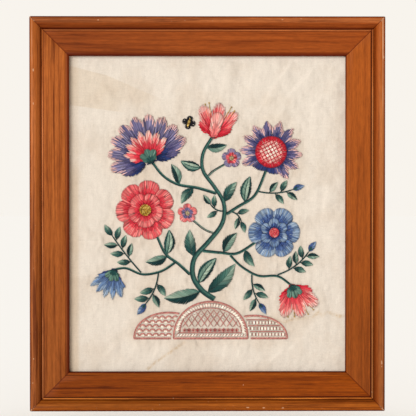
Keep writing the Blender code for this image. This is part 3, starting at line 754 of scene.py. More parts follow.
def even_line(line, pitch):
    """Points at an even pitch along a line, with the direction at each."""
    lengths = [(b - a).length for a, b in zip(line, line[1:])]
    total = sum(lengths)
    count = max(2, round(total / pitch))
    points = []
    walked, i = 0.0, 0
    for k in range(count + 1):
        target = total * k / count
        while i < len(lengths) - 1 and walked + lengths[i] < target:
            walked += lengths[i]
            i += 1
        ahead = (line[i + 1] - line[i]).normalized()
        points.append((line[i] + ahead * (target - walked), ahead))
    return points


def polar(x, z, angle, radius):
    """The point at an angle from straight up, in degrees, and a distance."""
    angle = math.radians(angle)
    return Vector((x + radius * math.sin(angle), z + radius * math.cos(angle)))


TUCK = 0.6             # the share of a stem's width that its foot is set in by
stems = {}
for name, parent, along, side, foot_width, tip_width, points in STEMS:
    if parent:
        points = [growing_point(parent, along, side, 0, foot_width * TUCK)[0]] + points
    stems[name] = (smooth_line(points, 4), foot_width, tip_width)
print("points along the trunk:", len(stems["trunk"][0]))

# %% [markdown]
# ## Wool stitches
# Crewel wool is a thin two-ply yarn. On the cloth each stitch is a short arch: it comes up
# through the linen, lies over the work and goes down again. One stitch is modelled by hand
# here: a ring of six points is extruded along its length, swelling and thinning, and its two
# ends are drawn together into points. It has only thirty faces, because it will be copied
# thousands of times.

# %% Model one stitch
SIDES = 6
FIRST_RING, TIP_GIRTH = 0.07, 0.70
STATIONS = [(0.30, 1.0), (0.70, 1.0), (0.93, TIP_GIRTH), (1.0, TIP_GIRTH)]     # along, girth


def select_ring(where):
    bpy.ops.object.mode_set(mode="OBJECT")
    for vertex in bpy.context.object.data.vertices:
        vertex.select = abs(vertex.co.x - where) < 0.001
    bpy.ops.object.mode_set(mode="EDIT")


def draw_out(distance):
    bpy.ops.mesh.extrude_region_move(TRANSFORM_OT_translate={"value": (distance, 0, 0)})


deselect_all()
bpy.ops.mesh.primitive_circle_add(vertices=SIDES, radius=0.5 * TIP_GIRTH, location=(0, 0, 0))
one_stitch = bpy.context.object
one_stitch.name = "one_stitch"
for vertex in one_stitch.data.vertices:
    vertex.co = Vector((FIRST_RING, vertex.co.x, vertex.co.y))
bpy.ops.object.mode_set(mode="EDIT")
bpy.ops.mesh.select_mode(type="VERT")
bpy.ops.mesh.select_all(action="SELECT")
place, girth = FIRST_RING, TIP_GIRTH
for along, wide in STATIONS:
    draw_out(along - place)
    bpy.ops.transform.resize(value=(1, wide / girth, wide / girth))
    place, girth = along, wide
select_ring(1.0)
bpy.ops.mesh.merge(type="CENTER")
select_ring(FIRST_RING)
draw_out(-FIRST_RING)
select_ring(0.0)
bpy.ops.mesh.merge(type="CENTER")
bpy.ops.mesh.select_all(action="SELECT")
bpy.ops.mesh.normals_make_consistent(inside=False)
bpy.ops.object.mode_set(mode="OBJECT")

PATTERN = np.array([tuple(vertex.co) for vertex in one_stitch.data.vertices])
PATTERN_FACES = [tuple(face.vertices) for face in one_stitch.data.polygons]
bpy.data.objects.remove(one_stitch, do_unlink=True)
print("points of one stitch:", len(PATTERN), "faces:", len(PATTERN_FACES))

# %% [markdown]
# A motif is a list of stitches: where each starts and ends on the cloth, how high it stands,
# how thick it is and its shade. Sewing bends a copy of the modelled stitch along each of
# them, and joins all the copies of a motif into one mesh. Two things travel with every
# stitch: its shade of wool, with how far up the strand's side a point lies in the fourth
# value, and a map of its length that the material uses to draw the twist of the plies.

# %% Sew stitches into one mesh
FLATNESS = 0.80       # the height of a strand as a share of its width
PITCH = 0.98          # the distance between two stitches side by side
WOOL = 1.16           # the width of one strand


def clamp(value):
    return min(1.0, max(0.0, value))


class Work:
    """The stitches of one motif, gathered until they are sewn into a mesh."""

    def __init__(self, seed):
        self.rows = []
        self.chance = np.random.default_rng(seed)

    def stitch(self, start, end, colour, heights, width=WOOL, bow=0.0, vary=0.18):
        """One stitch from start to end (x, z), with its height at the start, middle and end."""
        shade = 1.0 + self.chance.normal(0.0, vary)
        self.rows.append((*start, *end, *heights, width, bow, *(clamp(c * shade) for c in colour)))

    def jitter(self, amount):
        return self.chance.uniform(-amount, amount)


def on_cloth(x, z, level):
    """Points in the scene's metres, for millimetres on the cloth and over its face."""
    return np.stack([LINEN_X + x * MM, FACE_Y - level * MM, LINEN_Z + z * MM], axis=-1)


def bend_copies(rows, layer):
    """The points of every copy, bent along its stitch and standing on its layer."""
    start, end = rows[:, None, 0:2], rows[:, None, 2:4]
    height_start, height_middle, height_end, width, bow = rows.T[4:9, :, None]
    t, across, upward = PATTERN.T[:, None]
    hump = 4 * t * (1 - t)
    run = end - start
    length = np.maximum(np.linalg.norm(run, axis=2, keepdims=True), 0.01)
    side = np.concatenate([-run[..., 1:], run[..., :1]], axis=2) / length
    flat = start + run * t[..., None] + side * (width * across + bow * hump)[..., None]
    level = height_start * (1 - t) + height_end * t + layer * WOOL_LAYER
    level += (height_middle - (height_start + height_end) / 2) * hump + width * upward * FLATNESS
    return on_cloth(flat[..., 0], flat[..., 1], level), length[:, 0, 0]


def sew(name, work, layer):
    """Make one mesh object from a motif's stitches."""
    rows = np.array(work.rows, float)
    points, length = bend_copies(rows, layer)
    count, per = points.shape[:2]
    faces = [[first + k for k in face]
             for first in range(0, count * per, per) for face in PATTERN_FACES]
    mesh = bpy.data.meshes.new(name)
    mesh.from_pydata(points.reshape(-1, 3), [], faces)
    mesh.shade_smooth()
    shade = np.ones((count, per, 4))
    shade[..., :3] = rows[:, None, 9:12]
    shade[..., 3] = PATTERN[:, 2] + 0.5
    mesh.attributes.new("shade", "FLOAT_COLOR", "POINT").data.foreach_set("color", shade.ravel())
    twist = np.empty((count, per, 2))
    twist[..., 0] = np.arctan2(PATTERN[:, 2], PATTERN[:, 1]) / (2 * math.pi) + 0.5
    twist[..., 1] = PATTERN[:, 0] * length[:, None]
    twist = twist.reshape(-1, 2)[np.concatenate(faces)]
    mesh.uv_layers.new(name="twist").data.foreach_set("uv", twist.ravel())
    piece = bpy.data.objects.new(name, mesh)
    bpy.context.scene.collection.objects.link(piece)
    return piece

# %% [markdown]
# Wool is matt, with a faint halo of fibres, so its shader is rough with some sheen. The bump
# draws the ply: slanting bands along each strand, with a little fuzz over them, and the same
# bands are painted a little darker as shade between the plies. Little light reaches between
# two strands, so each is painted darker down its sides as shade.

# %% Make the wool
def wool_finish(name):
    finish, place = start_finish(name)
    ply = place.to("UVMap", {}, "UV", uv_map="twist").wave("DIAGONAL", 0.45, 0.8)
    fuzz = place.noise(2600.0, detail=2.0)
    colour = place.stored("shade", "Color").times(fuzz.fit(0.25, 0.75, 0.88, 1.08))
    # Painted shade down each strand's sides, where little light reaches.
    colour = colour.times(place.stored("shade", "Alpha").fit(0.40, 0.90, 0.30, 1.04))
    # Painted shade in the grooves between the plies.
    return set_shader(finish, Base_Color=colour.times(ply.fit(0.0, 0.5, 0.88, 1.0)),
                      Roughness=0.95, Sheen_Weight=0.20, Sheen_Roughness=0.5,
                      Specular_IOR_Level=0.12,
                      Normal=fuzz.bump(0.3, 0.0002, ply.bump(0.4, 0.0003)))


wool = {}
sewn = []


def finish_work(work, node, layer, slot):
    """Sew the work, give it its wool and let it stand for its node."""
    piece = sew(f"stitched_{node}", work, layer)
    if slot not in wool:
        wool[slot] = wool_finish(slot)
    piece.data.materials.append(wool[slot])
    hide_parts(node)
    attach(piece, "root")
    sewn.append(len(work.rows))
    return piece

# %% [markdown]
# The shades are matched to the wools in the photograph: each family runs from a dark
# through to a pale, the way a stitcher's skeins do.

# %% Lay out the shades of wool
LIGHT_ON_WOOL = 1.15  # how much brighter than its own colour this light shows a matt surface


def dyed(red, green, blue):
    """The wool's own colour, for a shade that shall look like this under the scene's light."""
    return tuple(c / LIGHT_ON_WOOL for c in from_screen(red, green, blue))


PINE, TEAL = dyed(14, 47, 49), dyed(33, 76, 73)
FERN, SAGE, MIST = dyed(72, 114, 103), dyed(126, 154, 138), dyed(176, 192, 172)
WINE, RED, ROSE = dyed(160, 14, 34), dyed(195, 30, 48), dyed(213, 58, 72)
CORAL, BLUSH, SHELL = dyed(222, 90, 94), dyed(231, 141, 135), dyed(244, 206, 194)
PEACH = dyed(240, 192, 184)
NAVY, ROYAL, BLUE = dyed(24, 36, 76), dyed(38, 58, 113), dyed(64, 88, 141)
SKY, FROST = dyed(104, 131, 170), dyed(162, 178, 194)
PLUM, LILAC, MAUVE = dyed(59, 55, 97), dyed(97, 91, 131), dyed(142, 134, 164)
OLD_GOLD, GOLD, STRAW = dyed(140, 98, 28), dyed(192, 148, 48), dyed(226, 192, 104)
DUST, CLAY, IVORY = dyed(194, 122, 114), dyed(214, 156, 144), dyed(255, 244, 228)
BLACK = dyed(20, 20, 26)


def blend(first, second, amount):
    return [a + (b - a) * amount for a, b in zip(first, second)]


def shade_at(ramp, position):
    """The shade at a position from 0 to 1 along a run of wools."""
    place = min(max(position, 0.0), 0.9999) * (len(ramp) - 1)
    return blend(*ramp[int(place):int(place) + 2], place % 1)


print("a middle green of the leaves:", [round(c, 3) for c in shade_at([PINE, FERN, MIST], 0.5)])

# %% [markdown]
# ### Stems
# A stem is worked in stem stitch: short stitches that overlap by half and slant a little, so
# a row of them reads as a twisted rope. A thick trunk is several ropes side by side.

# %% Work the stems
ROPE_SLANT = 0.20     # how far a stitch's two ends lie to the sides of its row


def stem_rows(work, line, foot_width, tip_width, shades, row_width=1.0, length=4.6, height=0.55):
    rows = max(1, round((max(foot_width, tip_width) - 0.3) / row_width))
    points = even_line(line, length / 2)
    last = len(points) - 1
    for row in range(rows):
        position = 0.0 if rows == 1 else row / (rows - 1) * 2 - 1
        shade = shade_at(shades, (position + 1) / 2)
        middle = height + 0.35 * (1 - position * position)

        def beside(i, slant):
            """A point of this row, beside point i of the stem's middle line."""
            half = max((foot_width + (tip_width - foot_width) * i / last - row_width) / 2, 0)
            return points[i][0] + left_of(points[i][1]) * (position * half + slant)

        for i in range(last - 1):
            work.stitch(beside(i, -ROPE_SLANT), beside(i + 2, ROPE_SLANT), shade,
                        (0.30, middle, 0.25), width=row_width + 0.12)


def lengthened(line, before, after):
    """A line with its two ends drawn out, to tuck them under the work next to it."""
    first, last = (line[0] - line[1]).normalized(), (line[-1] - line[-2]).normalized()
    return [line[0] + first * before] + line[1:-1] + [line[-1] + last * after]


for number, (name, (line, foot_width, tip_width)) in enumerate(stems.items()):
    work = Work(100 + number)
    shades = [TEAL, FERN, TEAL, PINE] if name == "trunk" else [FERN, TEAL, PINE]
    under_parent = 5.0 if name == "trunk" else foot_width * TUCK / 2 + STEM_GAP + 0.8
    stem_rows(work, lengthened(line, under_parent, 2.4), foot_width, tip_width, shades)
    piece = finish_work(work, name, 0, "green_wool")
    print(piece.name, "stitches:", len(work.rows))

# %% [markdown]
# ### Leaves
# Leaves are worked in fishbone stitch: slanting stitches run from the midrib out and forward
# to the edge, first on one side and then on the other. The two sides meet at a closed vein.
# Three manners change the shades: two unlike halves, a dark foot that pales to the tip, and a
# dark edge round a pale middle, which takes two rows of stitches on each side.

# %% Work the leaves
SLANT = 0.24          # how far forward a leaf's stitch runs, as a share of the leaf
CROWDING = 1.12       # how much closer a leaf's stitches lie than others
MANNERS = {
    # name: for each side of the midrib, rows of (from, to, shades from the foot to the tip)
    "halves": {1: [(0, 1, [PINE, PINE, TEAL])], -1: [(0, 1, [FERN, SAGE, MIST])]},
    "paling": {1: [(0, 1, [PINE, TEAL, FERN, SAGE])], -1: [(0, 1, [PINE, TEAL, SAGE, MIST])]},
    "edged": {1: [(0, 0.62, [FERN, SAGE, SAGE]), (0.5, 1, [PINE, TEAL, TEAL])],
              -1: [(0, 0.62, [SAGE, MIST, SAGE]), (0.5, 1, [PINE, PINE, TEAL])]},
    "bud": {1: [(0, 1, [ROYAL, BLUE, SKY])], -1: [(0, 1, [BLUE, SKY, FROST])]},
}


def leaf_stitches(work, foot, ahead, length, width, bend, manner):
    across = left_of(ahead)

    def on_leaf(t, out):
        """The point t of the way up the leaf and out, from -1 to 1, across it."""
        t = min(max(t, 0.0), 0.995)
        half = width / 2 * max(0.0, math.sin(math.pi * t ** 0.85)) ** 0.8
        return foot + ahead * length * t + across * (bend * 4 * t * (1 - t) + half * out)

    count = round(length * CROWDING / PITCH)
    for side, rows in MANNERS[manner].items():
        for low, high, shades in rows:
            for i in range(count):
                t = -SLANT + (1 + SLANT * 0.92) * (i + 0.5) / count
                ragged = work.jitter(0.07)
                low_end = low + (ragged if low > 0 else -0.05)
                high_end = high + (ragged if high < 1 else work.jitter(0.09))
                root = on_leaf(t + SLANT * low, low_end * side)
                tip = on_leaf(t + SLANT * high, high_end * side)
                shade = shade_at(shades, t + SLANT * (low + high) / 2 + work.jitter(0.05))
                crown = 0.60 + 0.40 * math.sin(math.pi * clamp(t + SLANT / 2))
                heights = (0.34 if low == 0 else 0.6, crown, 0.6 if high < 1 else 0.22)
                work.stitch(root, tip, shade, heights, bow=0.2 * side)
    if manner == "edged":
        vein = [on_leaf(0.02 + 0.8 * k / 8, 0) for k in range(9)]
        stem_rows(work, vein, 0.9, 0.7, [TEAL, TEAL], row_width=0.8, length=3.4, height=0.75)


for number, (stem, along, side, lean, length, width, bend, manner) in enumerate(LEAVES, start=1):
    work = Work(200 + number)
    foot, ahead = growing_point(stem, along, side, lean)
    for offset in (-0.5, 0.5):
        stalk = foot + left_of(ahead) * offset
        work.stitch(stalk - ahead * 1.8, stalk + ahead * 3.0, TEAL, (0.2, 0.75, 0.4), width=1.1)
    leaf_stitches(work, foot, ahead, length, width, bend, manner)
    finish_work(work, f"leaf_{number:02d}", 0, "teal_wool")
print("leaves worked:", len(LEAVES), "stitches so far:", sum(sewn))

# %% [markdown]
# A twig is one fine rope. Its small leaves stand on short stalks, left and right in turn, and
# some twigs end in a blue bud that sits in two green sepals.

# %% Work the twigs
def twig_leaves(line, leaves):
    """The foot and direction of each small leaf; the last one is at the twig's end."""
    places = []
    for k in range(leaves):
        along = TWIG_FIRST + (1 - TWIG_FIRST) * k / (leaves - 1)
        side = 0 if k == leaves - 1 else 1 - 2 * (k % 2)
        start, ahead = point_along(line, along)
        direction = leaning(ahead, TWIG_LEAN * side)
        edge = start + left_of(ahead) * side * TWIG_WIDTH / 2
        places.append((edge, edge + direction * STALK_LENGTH, direction))
    return places


for number, twig in enumerate(TWIGS, start=1):
    *from_stem, length, bend, leaves, leaf_length, leaf_width, ends_in = twig
    work = Work(230 + number)
    foot, direction = growing_point(*from_stem, TWIG_WIDTH)
    line = bowed_line(foot, direction, length, bend)
    stem_rows(work, lengthened(line, STEM_GAP + 1.0, 0.0), TWIG_WIDTH, TWIG_WIDTH * 0.8,
              [TEAL, PINE], row_width=0.9)
    for k, (edge, leaf_foot, leaf_direction) in enumerate(twig_leaves(line, leaves)):
        work.stitch(edge - leaf_direction * 0.6, leaf_foot + leaf_direction * 1.2, PINE,
                    (0.3, 0.7, 0.4), width=1.2)
        manner = ("halves", "paling", "paling")[(k + number) % 3]
        if k == leaves - 1 and ends_in == "bud":
            manner = "bud"
        leaf_stitches(work, leaf_foot, leaf_direction, leaf_length, leaf_width, 0.6, manner)
        if manner == "bud":
            for lean_out in (-1, 0, 1):
                sepal = leaf_direction * 6.5 + left_of(leaf_direction) * lean_out * 2.6
                work.stitch(leaf_foot - leaf_direction * 0.5, leaf_foot + sepal, TEAL,
                            (0.5, 1.15, 0.8), width=1.3)
    finish_work(work, f"twig_{number:02d}", 0, "teal_wool")
print("twigs worked:", len(TWIGS), "stitches so far:", sum(sewn))

# %% [markdown]
# ### Petals
# Petals are worked in long and short stitch. Rows of stitches run from the edge towards the
# foot of the flower, their ends uneven so that one shade melts into the next. Each petal lies
# over its neighbour: along one side its wool is paler and stands up, and along the other it
# sinks and darkens, as if in the shadow of the next.

# %% Find the edge of a petal layer
EDGE_STEPS = 30       # points of the edge on each petal


def layer_edge(flower):
    """The point that a layer's stitches run to, and its edge seen from there.

    Each row of the edge is an angle, the distance to the edge, the place across the petal
    from -1 to 1, and the number of the petal.
    """
    x, z, turn, petals, spread, root, shoulder, valley, reach, (inner, outer) = flower[3:]
    rest = 360 - spread
    focus = polar(x, z, turn + 180, root * 0.6) if rest and root < shoulder / 3 else Vector((x, z))
    edge = []
    for i in range(petals * EDGE_STEPS):
        position = 2 * (i % EDGE_STEPS + 0.5) / EDGE_STEPS - 1
        angle = turn - spread / 2 + spread / petals * (i + 0.5) / EDGE_STEPS
        radius = valley + (reach - valley) * (1 - abs(position) ** inner) ** outer
        edge.append((angle, radius, position, i // EDGE_STEPS))
    for i in range(EDGE_STEPS if rest else 0):
        turned = rest * (i + 0.5) / EDGE_STEPS
        fall = min(1.0, min(turned, rest - turned) / shoulder)
        radius = root + (valley - root) * (0.5 + 0.5 * math.cos(math.pi * fall))
        near_last = turned < rest / 2
        edge.append((turn + spread / 2 + turned, radius, 0.75 if near_last else -0.75,
                     petals - 1 if near_last else 0))
    rows = []
    for angle, radius, position, petal in edge:
        away = polar(x, z, angle, radius) - focus
        rows.append((math.degrees(math.atan2(away.x, away.y)) % 360, away.length, position, petal))
    return focus, sorted(rows)


print("edge of the largest flower, points:", len(layer_edge(FLOWERS[0])[1]))

# %% [markdown]
# The table says, for each layer, how near the middle its stitches start, where its rows end,
# its wools from the heart to the edge, the shade in the folds, how ragged its edge is, and the
# pale wool of the thin spikes that reach past some edges.

# %% Work the petals
QUARTERS, THIRDS, HALVES = (0, 0.25, 0.50, 0.75, 1), (0, 0.33, 0.66, 1), (0, 0.5, 1)
REDS, GREENS = [WINE, RED, ROSE, CORAL, BLUSH], [PINE, TEAL, FERN, SAGE]
PETAL_WORK = {
    # name: inner radius, ends of the rows, shades from the heart to the edge, fold, ragged, spikes
    "rose_petals": (15, QUARTERS, [WINE, RED, RED, ROSE, CORAL, BLUSH], WINE, 0.3, None),
    "rose_middle": (5, THIRDS, REDS, WINE, 0.25, None),
    "blue_petals": (11, QUARTERS, [NAVY, ROYAL, BLUE, BLUE, SKY, FROST], NAVY, 0.3, None),
    "blue_middle": (5, THIRDS, [NAVY, ROYAL, BLUE, SKY, FROST], NAVY, 0.25, None),
    "seed_crown": (17, THIRDS, [TEAL, NAVY, ROYAL, PLUM, LILAC, LILAC, MAUVE], NAVY, 0.9, PEACH),
    "fan_petals": (8, QUARTERS, [NAVY, NAVY, ROYAL, PLUM, LILAC, LILAC, MAUVE], NAVY, 1.2, PEACH),
    "fan_middle": (7, THIRDS, REDS, WINE, 0.8, SHELL),
    "fan_cup": (0.4, HALVES, GREENS, PINE, 0.1, None),
    "tulip_petals": (0.5, QUARTERS, [WINE, RED, RED, ROSE, CORAL, BLUSH], WINE, 0.4, PEACH),
    "tulip_heart": (0.5, THIRDS, [CORAL, BLUSH, BLUSH, SHELL], ROSE, 0.3, None),
    "bell_petals": (0.5, QUARTERS, [NAVY, ROYAL, BLUE, SKY, SKY], NAVY, 0.7, FROST),
    "bell_cap": (0.4, HALVES, GREENS, PINE, 0.1, None),
    "bud_petals": (0.5, QUARTERS, REDS, WINE, 0.8, SHELL),
    "bud_cap": (0.4, HALVES, GREENS, PINE, 0.1, None),
    "blossom_middle": (2.5, (0, 0.55, 1), [PLUM, LILAC, MAUVE, BLUSH, CORAL], ROSE, 0.15, None),
    "blossom_top": (2.5, (0, 0.55, 1), [WINE, ROSE, BLUSH, MAUVE, LILAC], PLUM, 0.15, None),
    "moth_wings": (0.8, (0, 1), [BLACK, BLACK, BLACK], BLACK, 0.2, None),
}
FOLD_START = 0.62     # how far across a petal its fold begins
STAGGER = 0.09        # how far every second stitch ends beyond its row's end
OVERLAP = 0.17        # how far a row reaches into the one before
SPIKE_PITCH = 1.3


def edge_at(edge, angle):
    """The row of a layer's edge that comes next after an angle."""
    return edge[bisect.bisect(edge, (angle,)) % len(edge)]


def from_lean(flower, angle):
    """How many degrees an angle lies from the flower's own lean."""
    return abs((angle - flower[5] + 180) % 360 - 180)


def petal_stitches(work, flower, inner, ends, shades, fold_shade, ragged, spikes=None, crown=0.6):
    """Long and short stitch over one layer of petals; ends are those of the rows, from 0 to 1."""
    focus, edge = layer_edge(flower)
    turn, spread, shoulder = flower[5], flower[7], flower[9]
    petal_tones = work.chance.uniform(-0.05, 0.05, flower[6])
    usual = sorted(row[1] for row in edge)[len(edge) // 2]
    for low, high in zip(ends, ends[1:]):
        angle, long_one = work.chance.uniform(0, 1), False
        while angle < 360:
            _, rim, place, petal = edge_at(edge, angle)
            over = place if spread == 360 or (angle - turn) % 360 > 180 else -place
            over = over if fold_shade else 0.0
            start = min(inner, rim * 0.3)
            outermost = start + (rim - start) * high
            stagger = STAGGER if long_one else -STAGGER
            top = high + (stagger + work.jitter(0.06) if high < 1 else 0.0)
            foot = max(0.0, low - OVERLAP + (work.jitter(0.07) - stagger if low > 0 else 0.0))
            outer_radius = start + (rim - start) * top + (work.jitter(ragged) if high == 1 else 0.0)
            inner_radius = start + (rim - start) * foot
            fullness = min(1.0, rim / (0.9 * usual))
            if shoulder:
                fullness *= 1 - 0.5 * clamp((from_lean(flower, angle) - spread / 2) / 9)
            position = ((low + high) / 2 + petal_tones[petal] + work.jitter(0.15)) * fullness
            fold, rolled = (clamp((a - FOLD_START) / (1 - FOLD_START)) for a in (over, -over))
            shade = shade_at(shades, position + 0.09 * rolled)
            shade = blend(shade, fold_shade, 0.8 * fold ** 1.5) if fold else shade
            rise = crown * (1 - fold ** 2)
            low_height = 0.22 + rise * math.sin(math.pi * max(0.12, foot * 0.9))
            top_height = 0.20 + rise * math.sin(math.pi * min(0.90, top))
            middle = (low_height + top_height) / 2 + 0.24
            outer_end, inner_end = (polar(*focus, angle, r) for r in (outer_radius, inner_radius))
            work.stitch(outer_end, inner_end, shade, (top_height, middle, low_height), vary=0.26)
            angle += math.degrees(PITCH / max(outermost, 1.5))
            long_one = not long_one
    angle = 0.0
    while spikes and angle < 360:
        rim = edge_at(edge, angle)[1]
        fits = from_lean(flower, angle) < spread / 2 and rim > 0.75 * usual
        if fits and work.chance.random() < 0.85:
            outer, inner = rim + work.chance.uniform(0.3, 2.3), rim - work.chance.uniform(4.0, 11.0)
            work.stitch(polar(*focus, angle, outer), polar(*focus, angle + work.jitter(1.2), inner),
                        spikes, (0.35, 1.0, 0.8), width=0.95)
        angle += math.degrees(SPIKE_PITCH / rim) * work.chance.uniform(0.7, 1.4)


def knot(work, place, size, colour, height=0.5):
    """A French knot: the wool wound round itself, as two plump stitches across each other."""
    lean = work.chance.uniform(0, 180)
    for turn, rise in ((0, 0.0), (90, 0.12)):
        a, b = (polar(*place, lean + turn + half, size * 0.5) for half in (0, 180))
        work.stitch(a, b, colour, (height, height + 0.35 + rise, height), width=size * 0.8)


STAMENS = {
    # name: sideways leans of the stamens from the flower's own lean, how far they reach
    "tulip_petals": ((-27, -20, 19, 27), 43),
    "bud_petals": ((-24, -12, 13, 25), 41),
}


def stamens(work, flower, leans, reach):
    """Thin gold threads between the petals, each with a knot at its end, and a green calyx."""
    x, z, turn, _, _, root = flower[3:9]
    foot = polar(x, z, turn + 180, root * 0.6)
    for lean in leans:
        end = polar(*foot, turn + lean, reach + work.jitter(1.5))
        work.stitch(polar(*foot, turn + lean, reach * 0.60), end, GOLD, (0.8, 0.9, 0.5), width=0.85)
        knot(work, end, 1.9, GOLD)
    for lean in (-62, -38, -16, 16, 38, 62):
        tip = polar(*foot, turn + lean * 0.55, 10.5 - abs(lean) * 0.04)
        work.stitch(polar(*foot, turn + 180, 3.0), tip, FERN if abs(lean) < 40 else TEAL,
                    (0.7, 1.3, 0.9), width=1.3)


for number, flower in enumerate(FLOWERS):
    name, slot, layer, x, z = flower[:5]
    work = Work(300 + number)
    petal_stitches(work, flower, *PETAL_WORK[name])
    if name.startswith("blossom"):     # five knots, seven round them, and one in the middle
        for k in range(13):
            ring = 0 if k == 12 else (1.5, 3.0)[k > 4]
            place = polar(x, z, k * (72 if k <= 4 else 51.4), ring)
            knot(work, place, 1.25, (GOLD, STRAW, OLD_GOLD)[k % 3], height=0.9)
    if name in STAMENS:
        stamens(work, flower, *STAMENS[name])
    if name == "moth_wings":           # pale flecks along the edge of the wings
        for k in range(10):
            fleck = polar(x, z, k * 36 + 9, 5.6)
            work.stitch(fleck, polar(*fleck, k * 36 + 9, 1.5), IVORY, (0.9, 1.1, 0.9), width=0.55)
    finish_work(work, name, layer, slot)
    print(name, "stitches:", len(work.rows))

# %% [markdown]
# ### Hearts, fruit and moth
# The hearts of the flowers are packed with French knots. The fruit is satin stitch under a
# lattice of long threads, each crossing tied down. The moth is a few satin stitches.

# %% Work the hearts, the fruit and the moth
def knot_heart(work, x, z, radius, size, colours):
    """Rings of knots from the middle outward."""
    knot(work, (x, z), size, colours[0], 0.9)
    ring_radius = size * 0.8
    while ring_radius <= radius - size * 0.35:
        count = max(5, round(2 * math.pi * ring_radius / (size * 0.82)))
        for k in range(count):
            place = polar(x, z, 360 * k / count + work.jitter(4), ring_radius)
            colour = colours[int(work.chance.integers(len(colours)))]
            knot(work, place, size, colour, 0.45 + 0.45 * (1 - ring_radius / radius))
        ring_radius += size * 0.78


def clip_line(start, end, test, steps=160):
    """The stretches of a straight line that pass a test, as pairs of ends."""
    stretches, first, last = [], None, None
    for i in range(steps + 1):
        point = start.lerp(end, i / steps)
        if test(point):
            first = first or point
            last = point
        elif first is not None:
            stretches.append((first, last))
            first = None
    if first is not None:
        stretches.append((first, last))
    return [(a, b) for a, b in stretches if (b - a).length > 1.2]


def lay_threads(work, middle, reach, lean, spacing, test, colour, width, height):
    """Long parallel threads across an area, leaning by some degrees."""
    direction = polar(0, 0, lean, 1)
    across = left_of(direction)
    count = int(reach / spacing)
    for i in range(-count, count + 1):
        centre = middle + across * i * spacing
        for a, b in clip_line(centre - direction * reach, centre + direction * reach, test):
            work.stitch(a, b, colour, (height - 0.25, height + 0.05, height - 0.25), width=width)


def tie_crossings(work, middle, reach, leans, spacing, test, colour, height):
    """A small stitch over each crossing of two sets of threads."""
    first, second = (polar(0, 0, lean, 1) for lean in leans)
    step = spacing / math.sin(abs(math.radians(leans[0] - leans[1])))
    count = int(reach / spacing)
    crossings = []
    for i in range(-count, count + 1):
        for k in range(-count, count + 1):
            place = middle + first * i * step + second * k * step
            if test(place):
                crossings.append(place)
                work.stitch(place - Vector((0.8, 0)), place + Vector((0.8, 0)), colour,
                            (height, height + 0.35, height), width=0.8)
    return crossings, (first + second) * step / 2


HEARTS = [
    # node, slot, x, z, radius, size of a knot, colours
    ("rose_heart", "gold_wool", -80, 5, 8, 1.45, [GOLD, STRAW, OLD_GOLD, GOLD]),
    ("blue_heart", "coral_wool", 86, -24, 7, 1.45, [CORAL, BLUSH, ROSE, CORAL]),
]
for number, (name, slot, x, z, radius, size, colours) in enumerate(HEARTS, start=1):
    work = Work(400 + number)
    knot_heart(work, x, z, radius, size, colours)
    finish_work(work, name, 2, slot)

FRUIT = Vector((82, 80))
FRUIT_RADIUS = 21
LATTICE_LEANS, LATTICE_PITCH = (-27, 63), 4.4
work = Work(403)
disc = ("", "", 0, *FRUIT, 0, 1, 360, 0, 0, FRUIT_RADIUS, FRUIT_RADIUS, ROUND)   # as in FLOWERS
petal_stitches(work, disc, FRUIT_RADIUS - 5.5, (0, 1), [WINE, RED, ROSE], None, 0.2, crown=0.35)
petal_stitches(work, disc, 1.0, (0, 0.4, 0.8), [SHELL, IVORY, SHELL, BLUSH, CORAL], None, 0.0,
               crown=0.5)


def in_fruit(point):
    return (point - FRUIT).length < FRUIT_RADIUS - 4.5


for lean in LATTICE_LEANS:
    lay_threads(work, FRUIT, FRUIT_RADIUS, lean, LATTICE_PITCH, in_fruit, RED, 1.15, 1.35)
crossings, _ = tie_crossings(work, FRUIT, FRUIT_RADIUS, LATTICE_LEANS, LATTICE_PITCH, in_fruit,
                             WINE, 1.45)
finish_work(work, "seed_fruit", 1, "coral_wool")
print("lattice crossings on the fruit:", len(crossings))

MOTH, MOTH_LEAN = (-24, 118), 17
work = Work(405)
tail, head = (polar(*MOTH, MOTH_LEAN, distance) for distance in (-6.5, 5.5))
ahead = (head - tail).normalized()
across = left_of(ahead)
for k in range(8):
    place = tail.lerp(head, (k + 0.5) / 8)
    half = 1.5 * math.sin(math.pi * (k + 0.7) / 8.6) + 0.4
    work.stitch(place - across * half, place + across * half, STRAW if k % 3 else OLD_GOLD,
                (0.3, 1.0, 0.3), width=1.6)
knot(work, head + ahead * 0.9, 1.8, BLACK)
finish_work(work, "moth_body", 1, "navy_wool")

# %% [markdown]
# ### Mounds
# The ground at the foot of the tree is open work in dusty pink, with the bare linen showing
# through: roped edges, then a different filling in each mound. The middle one has a trellis
# with a small rosette in each diamond under a row of ivory bars, the left one rows of scales,
# the right one ivory satin bars between ropes.

# %% Draw the mounds and their roped edges
def arch_height(name, inset, angle):
    """The height of a mound's arch at an angle, from 0 at its right foot to pi at its left."""
    _, foot, _, height = MOUNDS[name]
    return foot + inset + (height - 2 * inset) * max(0.0, math.sin(angle)) ** 0.9


def mound_line(name, inset, steps=40):
    x, _, width, _ = MOUNDS[name]
    angles = [math.pi * (1 - i / steps) for i in range(steps + 1)]
    return [Vector((x + (width / 2 - inset) * math.cos(a), arch_height(name, inset, a)))
            for a in angles]


def inside_mound(name, point, inset):
    x, foot, width, _ = MOUNDS[name]
    across = (point.x - x) / (width / 2 - inset)
    return (abs(across) < 1
            and foot + inset <= point.y < arch_height(name, inset, math.acos(across)))


def clear_of_middle(point):
    return not inside_mound("mound_middle", point, inset=-1.4)


def rope(work, line, shade, width=1.2, length=3.0, test=None, height=0.55):
    points = even_line(line, length / 2)
    for (start, run_start), (end, run_end) in zip(points, points[2:]):
        if test is None or (test(start) and test(end)):
            work.stitch(start - left_of(run_start) * 0.3, end + left_of(run_end) * 0.3, shade,
                        (0.25, height, 0.25), width=width)


